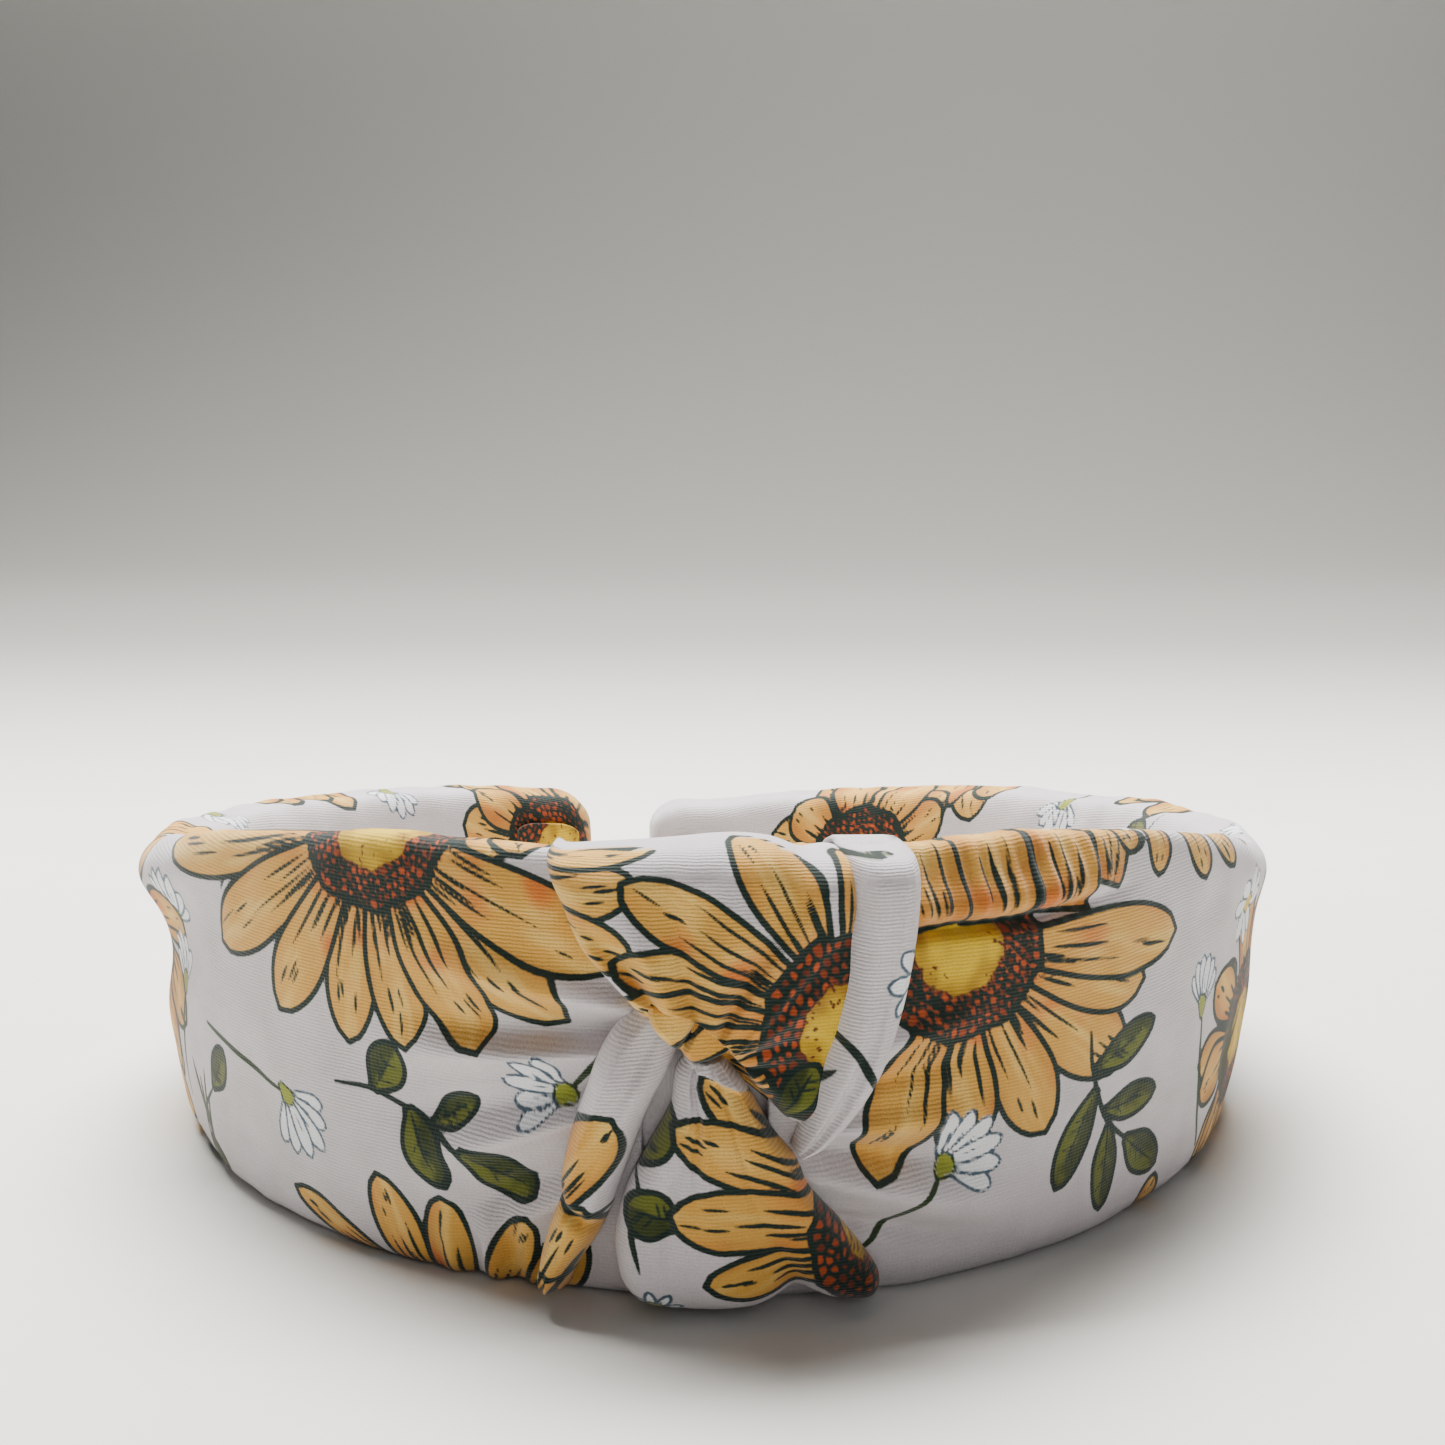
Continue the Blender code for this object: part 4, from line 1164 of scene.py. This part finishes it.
def crown_wrap():
    """The strip wrapped round the band under the knot: a fuller section than the sleeves', pleated
    across, which closes on the sleeves at both sides."""
    along = np.linspace(WRAP_LEFT, WRAP_RIGHT, 118)[:, None]
    turn = section_turns(0.42, 0.5)[None, :]
    across, up = section(turn, 3.2)
    edge = rounded(np.minimum(along - WRAP_LEFT, WRAP_RIGHT - along), 2.2)
    thickness = BAND_THICKNESS + 0.4 + 1.9 * edge
    height = CROWN_HEIGHT + 0.3 * np.sin(along * 0.7) * edge
    pleats = 0.35 * np.sin(along * 2 * np.pi / 5.2 + 0.9 * np.sin(turn * 2)) + 0.2 * ripple(along,
            turn * 14, 7.0, 61)
    inward = smooth(-across * 2 + 0.6)
    hidden = BAND_THICKNESS / 2 - 0.9 - 2.4 * smooth((np.abs(along - 1.5) - 8.5) / 5.0)
    reach = np.where(across > 0, hidden, thickness / 2 + pleats * edge * (0.35 + 0.65 * inward))
    out = BAND_MIDDLE + reach * across
    rise = CROWN_HEIGHT / 2 + (height / 2 + pleats * edge * 0.6) * up
    cloth_x = along + 0 * turn
    cloth_y = CROWN_HEIGHT / 2 + (turn / np.pi) * 56.0 + 0 * along
    return cloth_x, cloth_y, world(cloth_x, out, np.maximum(rise, 0.0)), "knot_wrap_cloth"


def draw_wrap(cloth):
    scatter(cloth, -22, 30, (50, 140), 71)


# ---------------------------------------------------------------- seams, folded ends and stitches

def strip(name, distance, side, low, high, lift, thickness, uneven, columns=14):
    """A thin strip on the band's inner face, from low to high, rounded at its edges."""
    along = side * distance[:, None]
    turn = np.linspace(0, 2 * np.pi, 2 * columns, endpoint=False)[None, :]
    across, up = section(turn, 4.0)
    bottom, top = low(along), high(along)
    rise = (bottom + top) / 2 + (top - bottom) / 2 * up
    out = BAND_INNER - lift - thickness / 2 * (1 + across) + uneven(along, rise) * (across < 0)
    cloth_x = along + 0 * turn
    return cloth_x, rise + 60.0 + across * thickness, world(cloth_x, out, rise), name


def seam(arm, side, end):
    """The sleeve's closed seam on the inner face, drawn up into small puckers by its stitches."""
    stop = abs(along_of(end)) - SEAM_STOP_SHORT
    distance = np.arange(SEAM_START, stop, 0.7)

    def pucker(along, rise):
        return 0.16 * np.sin(along * 2 * np.pi / 2.6)

    data = strip(f"seam_{arm}_ridge", distance, side, lambda a: band_height(a) / 2 - SEAM_HALF_WIDTH,
                 lambda a: band_height(a) / 2 + SEAM_HALF_WIDTH,
                 -SEAM_DEPTH, SEAM_THICKNESS, pucker, 8)
    cloth = Print(data[0], data[1])
    scatter(cloth, -190 if side < 0 else 20, -20 if side < 0 else 200, (50, 110), 8)
    obj = tube_mesh(data[3], data[2], data[:2], cloth.attributes())
    dress(obj, CLOTH, f"{arm}_arm", "thread", f"seam_{arm}")
    return obj


def end_patch(arm, side, end):
    """The sleeve's end, turned over and stuck down on the inner face."""
    stop = abs(along_of(end))
    distance = np.linspace(stop - 15.5, stop - 3.4, 60)

    def curve(along):
        return 1.6 * (1 - rounded(np.minimum(np.abs(along) - stop + 15.6, stop - 3.3 - np.abs(along)), 4.0))

    def uneven(along, rise):
        return 0.1 * ripple(along, rise, 6.0, 13)

    data = strip(f"end_fold_{arm}_cloth", distance, side, lambda a: END_FOLD_MARGIN + curve(a),
                 lambda a: band_height(a) - END_FOLD_MARGIN - curve(a), -0.3, 1.0, uneven, 40)
    cloth = Print(data[0], data[1])
    scatter(cloth, -230 if side < 0 else 180, -150 if side < 0 else 240, (50, 110), 5)
    if side < 0:
        whole_sunflower(cloth, (7.0 - stop, 77.0), FLOWER_REACH, 31)
    obj = tube_mesh(data[3], data[2], data[:2], cloth.attributes())
    dress(obj, CLOTH, f"{arm}_arm", "printed_knit", f"end_fold_{arm}")
    return obj


def thread_run(name, points, radius, body, slot, *nodes):
    """A round thread along a line of (along, out, height) points."""
    points = np.array(points, float)
    count = len(points) * 5
    t = np.linspace(0, len(points) - 1, count)
    line = np.stack([np.interp(t, np.arange(len(points)), points[:, i]) for i in range(3)], axis=1)
    turn = np.linspace(0, 2 * np.pi, 8, endpoint=False)[None, :]
    swell = radius * (0.5 + 0.5 * rounded(np.minimum(t, t[-1] - t), 0.4))[:, None]
    out = line[:, 1:2] + swell * np.cos(turn)
    rise = line[:, 2:3] + swell * np.sin(turn)
    obj = tube_mesh(name, world(line[:, :1] + 0 * out, out, rise))
    return dress(obj, THREAD, body, slot, *nodes)


def tack_stitches():
    """Bars of thread that hold the wrap to the band on its inner face."""
    inner = BAND_INNER - 1.35
    middle = CROWN_HEIGHT / 2
    bars = []
    for number in range(5):
        rise = middle + (number - 2) * 0.8
        reach = 8.0 - 0.7 * abs(number - 2)
        points = [(x, inner - (0.25 if abs(x) < reach else -0.5), rise + 0.25 * np.sin(x + number))
                  for x in np.linspace(-reach, reach, 9)]
        nodes = ("knot_tack_stitch",) if number == 0 else ()
        bars.append(thread_run(f"tack_thread_{number}", points, 0.28, "crown", "thread", *nodes))
    return bars


# ---------------------------------------------------------------- stage, light and camera

def stage():
    """A pale floor that sweeps up into a backdrop: level, then a quarter circle, then upright."""
    turn = np.linspace(0, np.pi / 2, 24)
    profile = np.concatenate([[[-SWEEP_HALF_WIDTH, 0.0]],
                              np.stack([SWEEP_START + SWEEP_RADIUS * np.sin(turn),
                                        SWEEP_RADIUS * (1 - np.cos(turn))], 1),
                              [[SWEEP_START + SWEEP_RADIUS, SWEEP_TOP]]])
    x = np.linspace(-SWEEP_HALF_WIDTH, SWEEP_HALF_WIDTH, 7)
    points = np.stack([np.broadcast_to(x[:, None], (7, len(profile))), np.broadcast_to(profile[:, 0], (7,
            len(profile))),
                       np.broadcast_to(profile[:, 1], (7, len(profile)))], axis=-1) * MM
    index = np.arange(7 * len(profile)).reshape(7, -1)
    quads = np.stack([index[:-1, :-1], index[1:, :-1], index[1:, 1:], index[:-1, 1:]], axis=-1).reshape(-1, 4)
    mesh = bpy.data.meshes.new("sweep")
    mesh.from_pydata(points.reshape(-1, 3).tolist(), [], quads.tolist())
    mesh.shade_smooth()
    obj = bpy.data.objects.new("sweep", mesh)
    bpy.context.scene.collection.objects.link(obj)
    shader = Shader("pale_paper_painted_shade", 0.9)
    place = shader.node("ShaderNodeTexCoord", None, None, 3)
    grain = shader.node("ShaderNodeTexNoise", None, {"Vector": place, "Scale": 30.0, "Detail": 3.0})
    tone = shader.node("ShaderNodeValToRGB", {"stops": [(0.3, rgba(srgb(228, 227, 222))), (0.7,
            rgba(srgb(232, 231, 226)))]},
                       {0: grain})
    split = shader.node("ShaderNodeSeparateXYZ", None, {0: place})
    deep = Socket(shader, split.socket.node.outputs["Y"])
    high = Socket(shader, split.socket.node.outputs["Z"])
    # Painted shade: from 0.12 m to 0.42 m behind the object the pale paper turns into the painted backdrop
    # shade below.
    fall = shader.node("ShaderNodeMapRange", {"interpolation_type": "SMOOTHSTEP"}, {0: deep, 1: 0.12,
            2: 0.42})
    lift = shader.node("ShaderNodeMapRange", None, {0: high, 1: 0.0, 2: 0.22})
    # Painted shade on the backdrop: dark grey on the floor behind the object, lightening up the wall until
    # 0.22 m high.
    far = shader.mix(lift, rgba(srgb(146, 145, 141)), rgba(srgb(214, 213, 208)))
    shader.feed("Base Color", shader.mix(fall, tone, far))
    mesh.materials.append(shader.material)


def area_light(name, place, target, size, power, colour=(1, 1, 1), spread=180):
    light = bpy.data.lights.new(name, "AREA")
    light.spread = np.radians(spread)
    light.shape = "RECTANGLE"
    light.size, light.size_y = size
    light.energy = power
    light.color = colour
    obj = bpy.data.objects.new(name, light)
    obj.location = place
    obj.rotation_euler = (Vector(target) - Vector(place)).to_track_quat("-Z", "Y").to_euler()
    bpy.context.scene.collection.objects.link(obj)


def lights():
    area_light("overhead_softbox", (-0.08, 0.38, 0.85), (0, 0.10, 0), (0.8, 0.5), SOFTBOX_POWER,
               (1.0, 0.985, 0.96), SOFTBOX_SPREAD)
    area_light("front_fill", (0.25, -0.9, 0.6), (0, 0, 0.03), (0.5, 0.4), FILL_POWER, (0.95, 0.96, 1.0))
    sky = bpy.data.worlds.new("room")
    sky.use_nodes = True
    sky.node_tree.nodes["Background"].inputs["Color"].default_value = (0.93, 0.94, 0.96, 1)
    sky.node_tree.nodes["Background"].inputs["Strength"].default_value = ROOM_STRENGTH
    bpy.context.scene.world = sky


def camera():
    data = bpy.data.cameras.new("camera")
    data.lens = CAMERA_LENS
    data.clip_start = 0.01
    obj = bpy.data.objects.new("camera", data)
    obj.location = Vector(CAMERA_PLACE) * MM
    obj.rotation_euler = (CAMERA_PITCH, 0, 0)
    bpy.context.scene.collection.objects.link(obj)
    bpy.context.scene.camera = obj


camera()
stage()
lights()

finish_sleeve(sleeve("sleeve_left_cloth", -1, LEFT_END, left_folds, 3), draw_left, "left_arm")
finish_sleeve(sleeve("sleeve_right_cloth", 1, RIGHT_END, right_folds, 7), draw_right, "right_arm")
finish_lobe(crown_wrap(), draw_wrap, "printed_knit", "crown_lining")
finish_lobe(upper_lobe(), draw_upper, "knot_knit", "knot_upper_lobe")
finish_lobe(lower_lobe(), draw_lower, "knot_knit", "knot_lower_lobe")
finish_lobe(right_strand(), draw_right_strand, "printed_knit", "knot_right_strand")
finish_lobe(left_strand(), draw_left_strand, "printed_knit", "knot_left_strand")
finish_lobe(centre_tuck(), draw_tuck, "knot_knit", "knot_centre_tuck")
for arm, side, end in (("left", -1, LEFT_END), ("right", 1, RIGHT_END)):
    seam(arm, side, end)
    end_patch(arm, side, end)
tack_stitches()

for name, node in frame["nodes"].items():
    if name.startswith("core_"):
        node.data.materials.clear()
        node.data.materials.append(CORE_PLASTIC)
    if name.startswith("foam_"):
        node.data.materials.clear()
        node.data.materials.append(FOAM)
